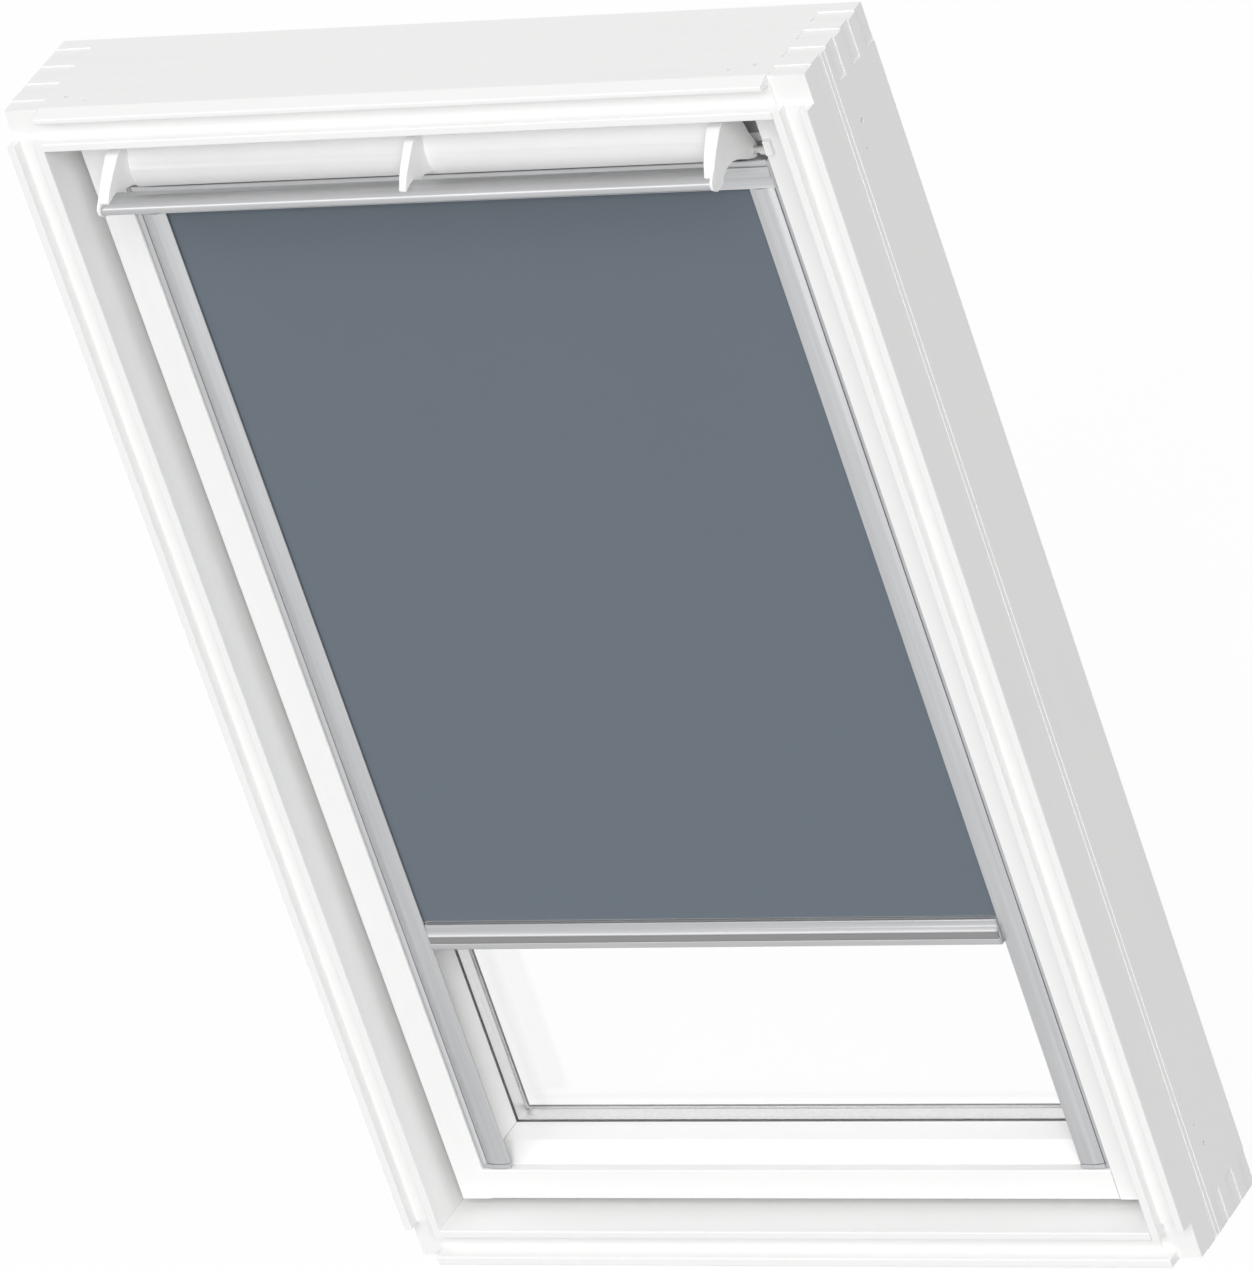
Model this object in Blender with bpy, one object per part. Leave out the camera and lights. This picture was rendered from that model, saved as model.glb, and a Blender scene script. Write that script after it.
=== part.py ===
"""Centre-pivot roof window with a roller blind fitted in its sash.

Metres. X runs to the right as seen from the room, Y runs from the room to the
outside, and Z runs up the slope. The origin is the middle of the sill face.
"""
import math

import bmesh
import bpy
from mathutils import Matrix, Vector

# Outer frame
FRAME_WIDTH = 0.780
FRAME_HEIGHT = 1.178
FRAME_DEPTH = 0.1275
OUTER_LIP = 0.0083
GROOVE_WIDTH = 0.0195
INNER_LIP = 0.0077
GROOVE_DEPTH = 0.0120
INNER_LIP_SETBACK = 0.0008
ARRIS_RADIUS = 0.0012
CORNER_RECESS = 0.0144
SIDE_LIP_FOOT = 0.0377
SIDE_LIP_HEAD = 0.0287
TOP_LIP_END = 0.0366
BOTTOM_LIP_END = 0.0235
TOP_LIP_CHAMFER = 0.0035
SIDE_LINE_AT = 0.0460
SIDE_LINE_WIDTH = 0.0055
SIDE_LINE_CUT = 0.0005
FINGERS = 4
FINGER_SHORT = 0.0012
SCREW_HOLE_RADIUS = 0.0022
SCREW_HOLE_DEPTH = 0.0060
HEAD_HOLE_INSET = 0.0550
HEAD_HOLE_AT = 0.0320
HEAD_PIN_RADIUS = 0.0012
HEAD_PIN_INSET = 0.0770
HEAD_PIN_AT = 0.0250
JAMB_HOLE_INSET = 0.0800
JAMB_HOLE_AT = 0.0720
JAMB_PIN_INSET = 0.1030
JAMB_PIN_AT = 0.0660

# Sash timber
SASH_GAP = 0.0105
SASH_FRONT = 0.0360
SASH_FACE = 0.0300
SASH_DEPTH = 0.0760
STEP_DEPTH = 0.0095
LEDGE_WIDTH = 0.0120
KNEE_IN = 0.0160
KNEE_DROP = 0.0145
SIGHT_IN = 0.0225
GLAZING_LIP = 0.0150
TOP_RAIL_SETBACK = 0.0240
TOP_RAIL_STEP = 0.0080
TOP_RAIL_FACE = 0.0420

# Glazing unit and its metal cladding
GLASS_AT = 0.0800
PANE_THICKNESS = 0.0040
PANE_SPACING = 0.0160
PANE_EDGE_GAP = 0.0020
SPACER_INSET = 0.0035
SPACER_WIDTH = 0.0090
GASKET_THICKNESS = 0.0018
GASKET_WIDTH = 0.0100
CLADDING_THICKNESS = 0.0015
CLADDING_GAP = 0.0020

# Pivot hinges and the seal round the sash
PIVOT_AT = 0.0720
PIVOT_PIN_RADIUS = 0.0070
PIVOT_PLATE_WIDTH = 0.0260
PIVOT_PLATE_HEIGHT = 0.1150
FRAME_PLATE_THICKNESS = 0.0025
SASH_PLATE_THICKNESS = 0.0020
SEAL_AT = 0.0900
SEAL_WIDTH = 0.0075
SEAL_HEIGHT = 0.0070

# Ventilation flap, its brackets and the control bar
FLAP_AXIS_AT = 0.0440
FLAP_AXIS_DROP = 0.0870
FLAP_RADIUS = 0.0450
FLAP_ARC_BEHIND = 0.0193
FLAP_ARC_ABOVE = 0.0220
FLAP_THICKNESS = 0.0025
FLAP_TOP_ANGLE = 29.0
FLAP_LOW_ANGLE = -25.0
FLAP_RETURN = 0.0100
BRACKET_INSET = 0.0130
BRACKET_THICKNESS = 0.0100
BRACKET_PLATE = 0.0017
MIDDLE_BRACKET_THICKNESS = 0.0048
HUB_RADIUS = 0.0070
FLAP_PIN_RADIUS = 0.0035
BEARING_THICKNESS = 0.0020
BEARING_RADIUS = 0.0065
BEARING_BOSS_RADIUS = 0.0050
BEARING_BOSS = 0.0075
FILTER_THICKNESS = 0.0020
FILTER_HEIGHT = 0.0300
FILTER_BELOW_TOP = 0.0030
FILTER_TO_LOCK = 0.0020
BAR_AHEAD = 0.0640
BAR_ABOVE = 0.0100
BAR_WIDTH = 0.0200
BAR_HEIGHT = 0.0125
BAR_NOSE = 0.0040
BAR_CHIN = 0.0060
BAR_CAP = 0.0020

# Lock
LOCK_WIDTH = 0.0900
LOCK_HEIGHT = 0.0300
LOCK_WALL = 0.0016
BOLT_WIDTH = 0.0140
BOLT_THICKNESS = 0.0060
BOLT_HEIGHT = 0.0340
KEEPER_WIDTH = 0.0440
KEEPER_THICKNESS = 0.0020
KEEPER_DEPTH = 0.0220
BOLT_CLEARANCE = 0.0007
LOCK_BELOW_TOP = 0.0030

# Barrel bolt in the right sash member
BARREL_IN = 0.0060
BARREL_DEEP = 0.0065
BARREL_BOLT_RADIUS = 0.0022
BARREL_BOLT_TRAVEL = 0.0100
BARREL_TIP_PROUD = 0.0050
BARREL_KNOB_WIDTH = 0.0062
BARREL_KNOB_HEIGHT = 0.0130
BARREL_KNOB_DEPTH = 0.0045
BARREL_KNOB_DROP = 0.0270
BARREL_NECK = 0.0020

# Roller blind
BLIND_SIDE_GAP = 0.0007
RAIL_WIDTH = 0.0285
RAIL_FRONT = 0.0375
RAIL_CROWN = 0.0009
RAIL_EDGE_WIDTH = 0.0048
RAIL_EDGE_DROP = 0.0022
RAIL_FLANGE = 0.0015
RAIL_BACK_FLANGE = 0.0012
RAIL_SLOT = 0.0040
RAIL_WEB = 0.0052
RAIL_FOOT = 0.0040
HEADBOX_HEIGHT = 0.0265
HEADBOX_DEPTH = 0.0290
HEADBOX_WALL = 0.0012
HEADBOX_CORNER = 0.0040
HEADBOX_DROP = 0.0945
HEADBOX_MOUTH = 0.0085
END_CAP_THICKNESS = 0.0030
ROLLER_RADIUS = 0.0060
ROLLER_WALL = 0.0009
ROLL_RADIUS = 0.0084
ROLLER_PIN_RADIUS = 0.0025
PLUG_LENGTH = 0.0140
FABRIC_THICKNESS = 0.0005
BOTTOM_BAR_AT = 0.3090
BOTTOM_BAR_HEIGHT = 0.0260
BOTTOM_BAR_DEPTH = 0.0110
BOTTOM_BAR_LIP = 0.0055
BOTTOM_BAR_GROOVE = 0.0055
BOTTOM_BAR_CUT = 0.0022
BOTTOM_BAR_PROUD = 0.0020
GLIDE_INSET = 0.0030
PLUG_COLLAR = 0.0020
PLUG_END_PLAY = 0.0020
RAIL_ABOVE_FACE = 0.0009
BAR_TO_RAIL = 0.0012
GLIDE_LENGTH = 0.0080
CLIP_WIDTH = 0.0075
CLIP_DEPTH = 0.0130
CLIP_SETBACK = 0.0155
CLIP_HEIGHT = 0.0130
CLIP_WALL = 0.0020

# Fits
GAP = 0.0003
RUNNING = 0.0003
OVER = 0.0050
SMOOTH_BELOW = math.radians(32)

# Worked out from the sizes above
HALF = FRAME_WIDTH / 2
WALL = OUTER_LIP + GROOVE_WIDTH + INNER_LIP
LIP_ROOT = OUTER_LIP + GROOVE_WIDTH
FINGER_PITCH = (FRAME_DEPTH - CORNER_RECESS) / FINGERS
SASH_EDGE = WALL + SASH_GAP
SASH_INNER = SASH_EDGE + SASH_FACE
SIGHT_LINE = SASH_INNER + SIGHT_IN
BLIND_HALF_WIDTH = HALF - SASH_INNER - BLIND_SIDE_GAP
BRACKET_SPREAD = HALF - SASH_INNER - BRACKET_INSET
REBATE = SIGHT_LINE - GLAZING_LIP
SASH_BACK = SASH_FRONT + SASH_DEPTH
STEP_AT = SASH_FRONT + STEP_DEPTH
LIP_FACE = GLASS_AT - GASKET_THICKNESS - 2 * GAP
PANE_EDGE = REBATE + PANE_EDGE_GAP
GLASS_BACK = GLASS_AT + 2 * PANE_THICKNESS + PANE_SPACING
PIVOT_HEIGHT = FRAME_HEIGHT / 2
FLAP_AXIS_HEIGHT = FRAME_HEIGHT - FLAP_AXIS_DROP
FLAP_ARC_DEPTH = FLAP_AXIS_AT + FLAP_ARC_BEHIND
FLAP_ARC_HEIGHT = FLAP_AXIS_HEIGHT + FLAP_ARC_ABOVE
HEADBOX_TOP = FRAME_HEIGHT - HEADBOX_DROP
HEADBOX_BASE = HEADBOX_TOP - HEADBOX_HEIGHT
RAIL_BASE = SASH_INNER + RAIL_ABOVE_FACE
RAIL_DEPTH = RAIL_FLANGE + RAIL_SLOT + RAIL_BACK_FLANGE + RAIL_CROWN
FABRIC_AT = RAIL_FRONT + RAIL_CROWN + RAIL_FLANGE + RAIL_SLOT / 2
ROLLER_AT = FABRIC_AT + FABRIC_THICKNESS / 2 + GAP + ROLL_RADIUS
ROLLER_HEIGHT = HEADBOX_BASE + HEADBOX_HEIGHT / 2


def deep(depth):
    """World Y of a depth measured outward from the room-side lip."""
    return depth - FRAME_DEPTH / 2


def jamb(inset, side):
    """World X of a distance in from the outer side face; side is -1 or 1."""
    return side * (HALF - inset)


def head(inset):
    """World Z of a distance down from the top face."""
    return FRAME_HEIGHT - inset


def clear_scene():
    for item in list(bpy.data.objects):
        bpy.data.objects.remove(item, do_unlink=True)


def paint(item, colour, roughness, metallic=0.0):
    material = bpy.data.materials.new(item.name + "_finish")
    material.use_nodes = True
    shader = material.node_tree.nodes["Principled BSDF"]
    shader.inputs["Base Color"].default_value = (*colour, 1.0)
    shader.inputs["Roughness"].default_value = roughness
    shader.inputs["Metallic"].default_value = metallic
    item.data.materials.append(material)
    return item


PAINT = ((0.86, 0.86, 0.85), 0.42)
PLASTIC = ((0.82, 0.82, 0.81), 0.38)
ALUMINIUM = ((0.56, 0.57, 0.58), 0.34, 1.0)
CLADDING = ((0.16, 0.17, 0.18), 0.45, 0.6)
STEEL = ((0.55, 0.55, 0.54), 0.30, 1.0)
RUBBER = ((0.035, 0.035, 0.037), 0.80)
GLASS = ((0.80, 0.85, 0.84), 0.03)
SLATE = ((0.157, 0.187, 0.215), 0.90)
GREY_PLASTIC = ((0.34, 0.35, 0.36), 0.50)


def keep(name, shape):
    """Closes a bmesh into an object with its faces pointing out."""
    bmesh.ops.remove_doubles(shape, verts=shape.verts, dist=1e-7)
    bmesh.ops.recalc_face_normals(shape, faces=shape.faces)
    mesh = bpy.data.meshes.new(name)
    shape.to_mesh(mesh)
    shape.free()
    mesh.shade_smooth()
    mesh.set_sharp_from_angle(angle=SMOOTH_BELOW)
    item = bpy.data.objects.new(name, mesh)
    bpy.context.scene.collection.objects.link(item)
    return item


def rounded(points, steps=3):
    """Turns the corners that carry a radius, (a, b, radius), into arcs."""
    outline = []
    count = len(points)
    for index, point in enumerate(points):
        corner = Vector(point[:2])
        if len(point) < 3 or point[2] <= 0:
            outline.append(tuple(corner))
            continue
        before = Vector(points[index - 1][:2]) - corner
        after = Vector(points[(index + 1) % count][:2]) - corner
        half_angle = before.angle(after) / 2
        reach = point[2] / math.tan(half_angle)
        reach = min(reach, 0.45 * before.length, 0.45 * after.length)
        radius = reach * math.tan(half_angle)
        bisector = (before.normalized() + after.normalized()).normalized()
        centre = corner + bisector * (radius / math.sin(half_angle))
        first = corner + before.normalized() * reach - centre
        last = corner + after.normalized() * reach - centre
        turn = first.angle_signed(last)
        for step in range(steps + 1):
            angle = -turn * step / steps
            outline.append(tuple(centre + Matrix.Rotation(angle, 2) @ first))
    return outline


def loft(name, rings):
    """Joins equal closed rings of points into one capped solid."""
    shape = bmesh.new()
    loops = [[shape.verts.new(point) for point in ring] for ring in rings]
    count = len(loops[0])
    for lower, upper in zip(loops, loops[1:]):
        for index in range(count):
            after = (index + 1) % count
            shape.faces.new((lower[index], lower[after], upper[after], upper[index]))
    shape.faces.new(loops[0][::-1])
    shape.faces.new(loops[-1])
    return keep(name, shape)


def along_x(name, outline, start, end):
    """Extrudes (depth, height) points along X."""
    rings = [[(x, deep(d), z) for d, z in outline] for x in (start, end)]
    return loft(name, rings)


def along_y(name, outline, start, end):
    """Extrudes (x, height) points from one depth to another."""
    rings = [[(x, deep(d), z) for x, z in outline] for d in (start, end)]
    return loft(name, rings)


def along_z(name, outline, start, end):
    """Extrudes (x, depth) points along Z."""
    rings = [[(x, deep(d), z) for x, d in outline] for z in (start, end)]
    return loft(name, rings)


def block(name, x_range, depth_range, height_range):
    outline = [(x_range[0], depth_range[0]), (x_range[1], depth_range[0]),
               (x_range[1], depth_range[1]), (x_range[0], depth_range[1])]
    return along_z(name, outline, *height_range)


def circle(radius, centre=(0.0, 0.0), count=24):
    turns = [2 * math.pi * step / count for step in range(count)]
    return [(centre[0] + radius * math.cos(turn), centre[1] + radius * math.sin(turn))
            for turn in turns]


def rod_x(name, radius, depth, height, start, end, count=24):
    return along_x(name, circle(radius, (depth, height), count), start, end)


def window_ring(name, section):
    """Carries (inset, depth) points round the four sides of the window."""
    shape = bmesh.new()
    loops = []
    for side, low in ((-1, True), (1, True), (1, False), (-1, False)):
        loops.append([shape.verts.new((jamb(s, side), deep(d), s if low else head(s)))
                      for s, d in section])
    count = len(section)
    for corner in range(4):
        here = loops[corner]
        there = loops[(corner + 1) % 4]
        for index in range(count):
            after = (index + 1) % count
            shape.faces.new((here[index], here[after], there[after], there[index]))
    return keep(name, shape)


def combine(item, other, operation):
    """Cuts the other solid out of the item, or joins it on, as a guide shape."""
    other.hide_render = True
    other.display_type = "WIRE"
    change = item.modifiers.new(operation.lower() + "_" + other.name, "BOOLEAN")
    change.operation = operation
    change.solver = "EXACT"
    change.object = other


def cut(item, other):
    combine(item, other, "DIFFERENCE")


def join(item, other):
    combine(item, other, "UNION")


def carried_by(empty, items):
    """Parents pieces to the empty that marks their joint."""
    for item in items:
        item.parent = empty
        item.matrix_parent_inverse = Matrix.Translation(empty.location).inverted()


def axis_empty(name, depth, height):
    empty = bpy.data.objects.new(name, None)
    empty.location = (0.0, deep(depth), height)
    bpy.context.scene.collection.objects.link(empty)
    return empty


def frame_section(lip_start):
    """Half section of a frame member as (inset, depth), lip first."""
    lip = [(lip_start, 0.0, ARRIS_RADIUS), (OUTER_LIP, 0.0, ARRIS_RADIUS)]
    groove = [(OUTER_LIP, GROOVE_DEPTH, ARRIS_RADIUS), (LIP_ROOT, GROOVE_DEPTH, ARRIS_RADIUS)]
    inner = [(LIP_ROOT, INNER_LIP_SETBACK, ARRIS_RADIUS), (WALL, INNER_LIP_SETBACK, ARRIS_RADIUS)]
    return lip + groove + inner + [(WALL, FRAME_DEPTH, ARRIS_RADIUS)]


def comb(first_half, reach):
    """Outline, as (depth, reach), that takes every second finger away."""
    outline = [(CORNER_RECESS - 2 * OVER, -2 * OVER)]
    for finger in range(FINGERS):
        start = CORNER_RECESS + (finger + (0.0 if first_half else 0.5)) * FINGER_PITCH
        near = start - GAP / 2
        far = start + FINGER_PITCH / 2 + GAP / 2
        if not first_half and finger == FINGERS - 1:
            far = FRAME_DEPTH + OVER
        outline += [(near, -OVER), (near, reach), (far, reach), (far, -OVER)]
    outline.append((outline[-1][0] + OVER, -2 * OVER))
    return outline


def blind_hole(item, name, centre, direction, radius):
    """Sinks a small hole into a face from the given outside direction."""
    outline = circle(radius, count=12)
    along = Vector(direction)
    turn = along.to_track_quat("Z", "Y").to_matrix()
    rings = []
    for depth in (-SCREW_HOLE_DEPTH, OVER):
        rings.append([tuple(Vector(centre) + turn @ Vector((a, b, depth))) for a, b in outline])
    cut(item, loft(name, rings))


def frame_side(name, side):
    """Side member of the frame, with comb-jointed ends and recessed corners."""
    line_end = SIDE_LINE_AT + SIDE_LINE_WIDTH
    section = frame_section(2 * SIDE_LINE_CUT)
    section += [(0.0, FRAME_DEPTH, ARRIS_RADIUS), (0.0, line_end), (SIDE_LINE_CUT, line_end),
                (SIDE_LINE_CUT, SIDE_LINE_AT), (2 * SIDE_LINE_CUT, SIDE_LINE_AT)]
    outline = [(jamb(s, side), d) for s, d in rounded(section)]
    member = along_z(name, outline, 0.0, FRAME_HEIGHT)
    outer = sorted((jamb(-OVER, side), jamb(LIP_ROOT, side)))
    inner = sorted((jamb(LIP_ROOT - GAP, side), jamb(WALL + OVER, side)))
    recess = (-OVER, CORNER_RECESS)
    ends = (("foot", SIDE_LIP_FOOT, lambda z: z), ("head", SIDE_LIP_HEAD, head))
    for end, lip_end, place in ends:
        lip_range = sorted((place(-OVER), place(lip_end)))
        root_range = sorted((place(-OVER), place(LIP_ROOT)))
        cut(member, block(f"{name}_{end}_recess", outer, recess, lip_range))
        cut(member, block(f"{name}_{end}_corner", inner, recess, root_range))
        slots = [(d, place(z)) for d, z in comb(False, WALL + GAP / 2)]
        span = sorted((jamb(-OVER, side), jamb(WALL + OVER, side)))
        cut(member, along_x(f"{name}_{end}_slots", slots, *span))
        short = sorted((place(-OVER), place(FINGER_SHORT)))
        cut(member, block(f"{name}_{end}_short", span, (-OVER, FRAME_DEPTH + OVER), short))
    holes = ((JAMB_HOLE_INSET, JAMB_HOLE_AT, SCREW_HOLE_RADIUS),
             (JAMB_PIN_INSET, JAMB_PIN_AT, HEAD_PIN_RADIUS))
    for end, place in (("foot", lambda z: z), ("head", head)):
        for number, (inset, depth, radius) in enumerate(holes):
            centre = (jamb(0.0, side), deep(depth), place(inset))
            blind_hole(member, f"{name}_{end}_hole_{number}", centre, (side, 0, 0), radius)
    return paint(member, *PAINT)


def frame_rail(name, place, chamfer, lip_end, vertical):
    """Top or bottom member of the frame, across the full width."""
    section = frame_section(chamfer)
    section += [(0.0, FRAME_DEPTH, ARRIS_RADIUS)]
    if chamfer:
        section += [(0.0, CORNER_RECESS)]
    outline = [(d, place(s)) for s, d in rounded(section)]
    member = along_x(name, outline, -HALF, HALF)
    for side in (-1, 1):
        slots = [(jamb(x, side), d) for d, x in comb(True, WALL + GAP / 2)]
        span = sorted((place(-OVER), place(WALL + OVER)))
        cut(member, along_z(f"{name}_slots_{side}", slots, *span))
        short = sorted((jamb(-OVER, side), jamb(FINGER_SHORT, side)))
        cut(member, block(f"{name}_short_{side}", short, (-OVER, FRAME_DEPTH + OVER), span))
        corner = sorted((jamb(-OVER, side), jamb(WALL + GAP / 2, side)))
        inside = sorted((place(OUTER_LIP), place(WALL + OVER)))
        depth = (-OVER, CORNER_RECESS + GAP)
        cut(member, block(f"{name}_corner_{side}", corner, depth, inside))
        lip = sorted((jamb(-OVER, side), jamb(lip_end, side)))
        lip_band = sorted((place(-OVER), place(OUTER_LIP + GAP)))
        cut(member, block(f"{name}_lip_end_{side}", lip, depth, lip_band))
        if vertical:
            centre = (jamb(HEAD_HOLE_INSET, side), deep(HEAD_HOLE_AT), head(0.0))
            blind_hole(member, f"{name}_hole_{side}", centre, (0, 0, 1), SCREW_HOLE_RADIUS)
            centre = (jamb(HEAD_PIN_INSET, side), deep(HEAD_PIN_AT), head(0.0))
            blind_hole(member, f"{name}_pin_{side}", centre, (0, 0, 1), HEAD_PIN_RADIUS)
    if vertical:
        cut(member, barrel_rod("barrel_keep", BARREL_BOLT_RADIUS + 2 * RUNNING,
                               head(WALL + OVER), head(WALL - BARREL_BOLT_TRAVEL)))
    return paint(member, *PAINT)


def build_frame():
    frame_side("frame_left_member", -1)
    frame_side("frame_right_member", 1)
    frame_rail("frame_top_member", head, TOP_LIP_CHAMFER, TOP_LIP_END, True)
    frame_rail("frame_bottom_member", lambda z: z, 0.0, BOTTOM_LIP_END, False)
    tip = WALL + GAP + SEAL_HEIGHT
    bulb = [(WALL + GAP, SEAL_AT), (WALL + GAP, SEAL_AT + SEAL_WIDTH),
            (tip, SEAL_AT + SEAL_WIDTH, SEAL_WIDTH / 2), (tip, SEAL_AT, SEAL_WIDTH / 2)]
    seal = window_ring("frame_seal", rounded(bulb))
    paint(seal, *RUBBER)


def pivot_plates():
    """Frame plates with their pins, and the sash plates that turn on them."""
    sash_plates = []
    for word, side in (("left", -1), ("right", 1)):
        depths = (PIVOT_AT - PIVOT_PLATE_WIDTH / 2, PIVOT_AT + PIVOT_PLATE_WIDTH / 2)
        low = PIVOT_HEIGHT - PIVOT_PLATE_HEIGHT / 2
        high = PIVOT_HEIGHT + PIVOT_PLATE_HEIGHT / 2
        corner = PIVOT_PLATE_WIDTH / 3
        outline = rounded([(depths[0], low, corner), (depths[1], low, corner),
                           (depths[1], high, corner), (depths[0], high, corner)], 4)
        seat = WALL + GAP
        face = seat + FRAME_PLATE_THICKNESS
        plate = along_x(f"pivot_frame_plate_{word}", outline,
                        *sorted((jamb(seat, side), jamb(face, side))))
        pin_span = sorted((jamb(seat + FRAME_PLATE_THICKNESS / 2, side),
                           jamb(SASH_EDGE - GAP, side)))
        join(plate, rod_x(f"pivot_pin_{word}", PIVOT_PIN_RADIUS, PIVOT_AT, PIVOT_HEIGHT, *pin_span))
        paint(plate, *STEEL)
        near = SASH_EDGE - GAP
        far = near - SASH_PLATE_THICKNESS
        swing = along_x(f"pivot_sash_plate_{word}", outline,
                        *sorted((jamb(near, side), jamb(far, side))))
        bore_span = sorted((jamb(near + OVER, side), jamb(far - OVER, side)))
        cut(swing, rod_x(f"pivot_bore_{word}", PIVOT_PIN_RADIUS + RUNNING, PIVOT_AT,
                         PIVOT_HEIGHT, *bore_span))
        sash_plates.append(paint(swing, *STEEL))
    return sash_plates


def sash_mitre(name, side, place, gap):
    """Wedge, as (x, height), that clears the corner between two sash members."""
    far = SIGHT_LINE + OVER
    outline = [(jamb(SASH_INNER, side), place(SASH_EDGE - OVER)),
               (jamb(SASH_INNER, side), place(SASH_INNER + gap)),
               (jamb(far, side), place(far + gap)), (jamb(far, side), place(SASH_EDGE - OVER))]
    return along_y(name, outline, SASH_FRONT - OVER, SASH_BACK + OVER)


def sash_side(name, side):
    section = [(SASH_EDGE, SASH_FRONT, ARRIS_RADIUS), (SASH_INNER, SASH_FRONT, ARRIS_RADIUS),
               (SASH_INNER, STEP_AT), (SASH_INNER + LEDGE_WIDTH, STEP_AT),
               (SASH_INNER + KNEE_IN, STEP_AT + KNEE_DROP), (SIGHT_LINE, LIP_FACE),
               (REBATE, LIP_FACE), (REBATE, SASH_BACK), (SASH_EDGE, SASH_BACK, ARRIS_RADIUS)]
    outline = [(jamb(s, side), d) for s, d in rounded(section)]
    member = along_z(name, outline, SASH_EDGE, head(SASH_EDGE))
    for end, place in (("foot", lambda z: z), ("head", head)):
        cut(member, sash_mitre(f"{name}_{end}_mitre", side, place, 1.5 * GAP))
    housing = sorted((jamb(SASH_INNER, side), jamb(SIGHT_LINE + OVER, side)))
    cut(member, block(f"{name}_housing", housing,
                      (SASH_FRONT - OVER, RAIL_FRONT + HEADBOX_DEPTH + GAP),
                      (HEADBOX_BASE - GAP, head(SASH_EDGE - OVER))))
    if side > 0:
        low = barrel_neck_range()[0] - 2 * BARREL_NECK
        cut(member, barrel_rod("barrel_bore", BARREL_BOLT_RADIUS + RUNNING, low,
                               head(SASH_EDGE - OVER)))
        cut(member, barrel_slot("barrel_face_slot", RUNNING))
    return paint(member, *PAINT)


def sash_cross(name, place, section):
    """Sash member between the side members, mitred where it slopes."""
    reach = HALF - SASH_INNER - GAP
    outline = [(d, place(s)) for s, d in rounded(section)]
    member = along_x(name, outline, -reach, reach)
    for side in (-1, 1):
        near = SASH_INNER - OVER
        far = SIGHT_LINE + OVER
        wedge = [(jamb(near, side), place(near)), (jamb(far, side), place(far)),
                 (jamb(near, side), place(far))]
        cut(member, along_y(f"{name}_mitre_{side}", wedge, SASH_FRONT - OVER, SASH_BACK + OVER))
    return paint(member, *PAINT)


def build_sash():
    pieces = [sash_side("sash_left_member", -1), sash_side("sash_right_member", 1)]
    bottom = [(SASH_EDGE, SASH_FRONT, ARRIS_RADIUS), (SASH_INNER, SASH_FRONT, ARRIS_RADIUS),
              (SASH_INNER, STEP_AT), (SASH_INNER + KNEE_IN, STEP_AT + KNEE_DROP),
              (SIGHT_LINE, LIP_FACE), (REBATE, LIP_FACE), (REBATE, SASH_BACK),
              (SASH_EDGE, SASH_BACK, ARRIS_RADIUS)]
    pieces.append(sash_cross("sash_bottom_member", lambda z: z, bottom))
    front = SASH_FRONT + TOP_RAIL_SETBACK
    top = [(SASH_EDGE, front, ARRIS_RADIUS), (SASH_EDGE + TOP_RAIL_FACE, front),
           (SASH_EDGE + TOP_RAIL_FACE, front + TOP_RAIL_STEP),
           (SIGHT_LINE, front + TOP_RAIL_STEP), (SIGHT_LINE, LIP_FACE), (REBATE, LIP_FACE),
           (REBATE, SASH_BACK), (SASH_EDGE, SASH_BACK, ARRIS_RADIUS)]
    pieces.append(sash_cross("sash_top_member", head, top))
    return pieces


def build_glazing():
    pieces = []
    edge = PANE_EDGE
    for word, start in (("inner", GLASS_AT), ("outer", GLASS_AT + PANE_THICKNESS + PANE_SPACING)):
        pane = block(f"glass_{word}_pane", (jamb(edge, -1), jamb(edge, 1)),
                     (start, start + PANE_THICKNESS), (edge, head(edge)))
        pieces.append(paint(pane, *GLASS))
    near = GLASS_AT + PANE_THICKNESS + GAP
    far = near + PANE_SPACING - 2 * GAP
    inner = edge + SPACER_INSET + SPACER_WIDTH
    spacer = [(edge + SPACER_INSET, near), (edge + SPACER_INSET, far), (inner, far), (inner, near)]
    pieces.append(paint(window_ring("glazing_spacer", spacer), *ALUMINIUM))
    for word, start in (("inner", GLASS_AT - GAP - GASKET_THICKNESS), ("outer", GLASS_BACK + GAP)):
        end = start + GASKET_THICKNESS
        root = SIGHT_LINE - GASKET_WIDTH
        tip = SIGHT_LINE - 2 * GAP
        strip = [(root, start), (root, end), (tip, end), (tip, start)]
        pieces.append(paint(window_ring(f"{word}_gasket", strip), *RUBBER))
    return pieces + build_cladding()


def build_cladding():
    """Mitred metal covers over the outside of the sash timber."""
    face = SASH_BACK + GAP
    top = face + CLADDING_THICKNESS
    seat = GLASS_BACK + GAP + GASKET_THICKNESS + GAP
    drop = REBATE + GAP
    section = [(SASH_EDGE + GAP, face), (drop, face), (drop, seat), (SIGHT_LINE, seat),
               (SIGHT_LINE, seat + CLADDING_THICKNESS),
               (drop + CLADDING_THICKNESS, seat + CLADDING_THICKNESS),
               (drop + CLADDING_THICKNESS, top), (SASH_EDGE + GAP, top)]
    pieces = []
    for word, side in (("left", -1), ("right", 1)):
        rings = [[(jamb(s, side), deep(d), s + GAP / 2) for s, d in section],
                 [(jamb(s, side), deep(d), head(s + GAP / 2)) for s, d in section]]
        pieces.append(loft(f"cladding_{word}", rings))
    for word, place in (("bottom", lambda z: z), ("top", head)):
        rings = [[(jamb(s + GAP / 2, side), deep(d), place(s)) for s, d in section]
                 for side in (-1, 1)]
        pieces.append(loft(f"cladding_{word}", rings))
    for piece in pieces:
        paint(piece, *CLADDING)
    return pieces


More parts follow.
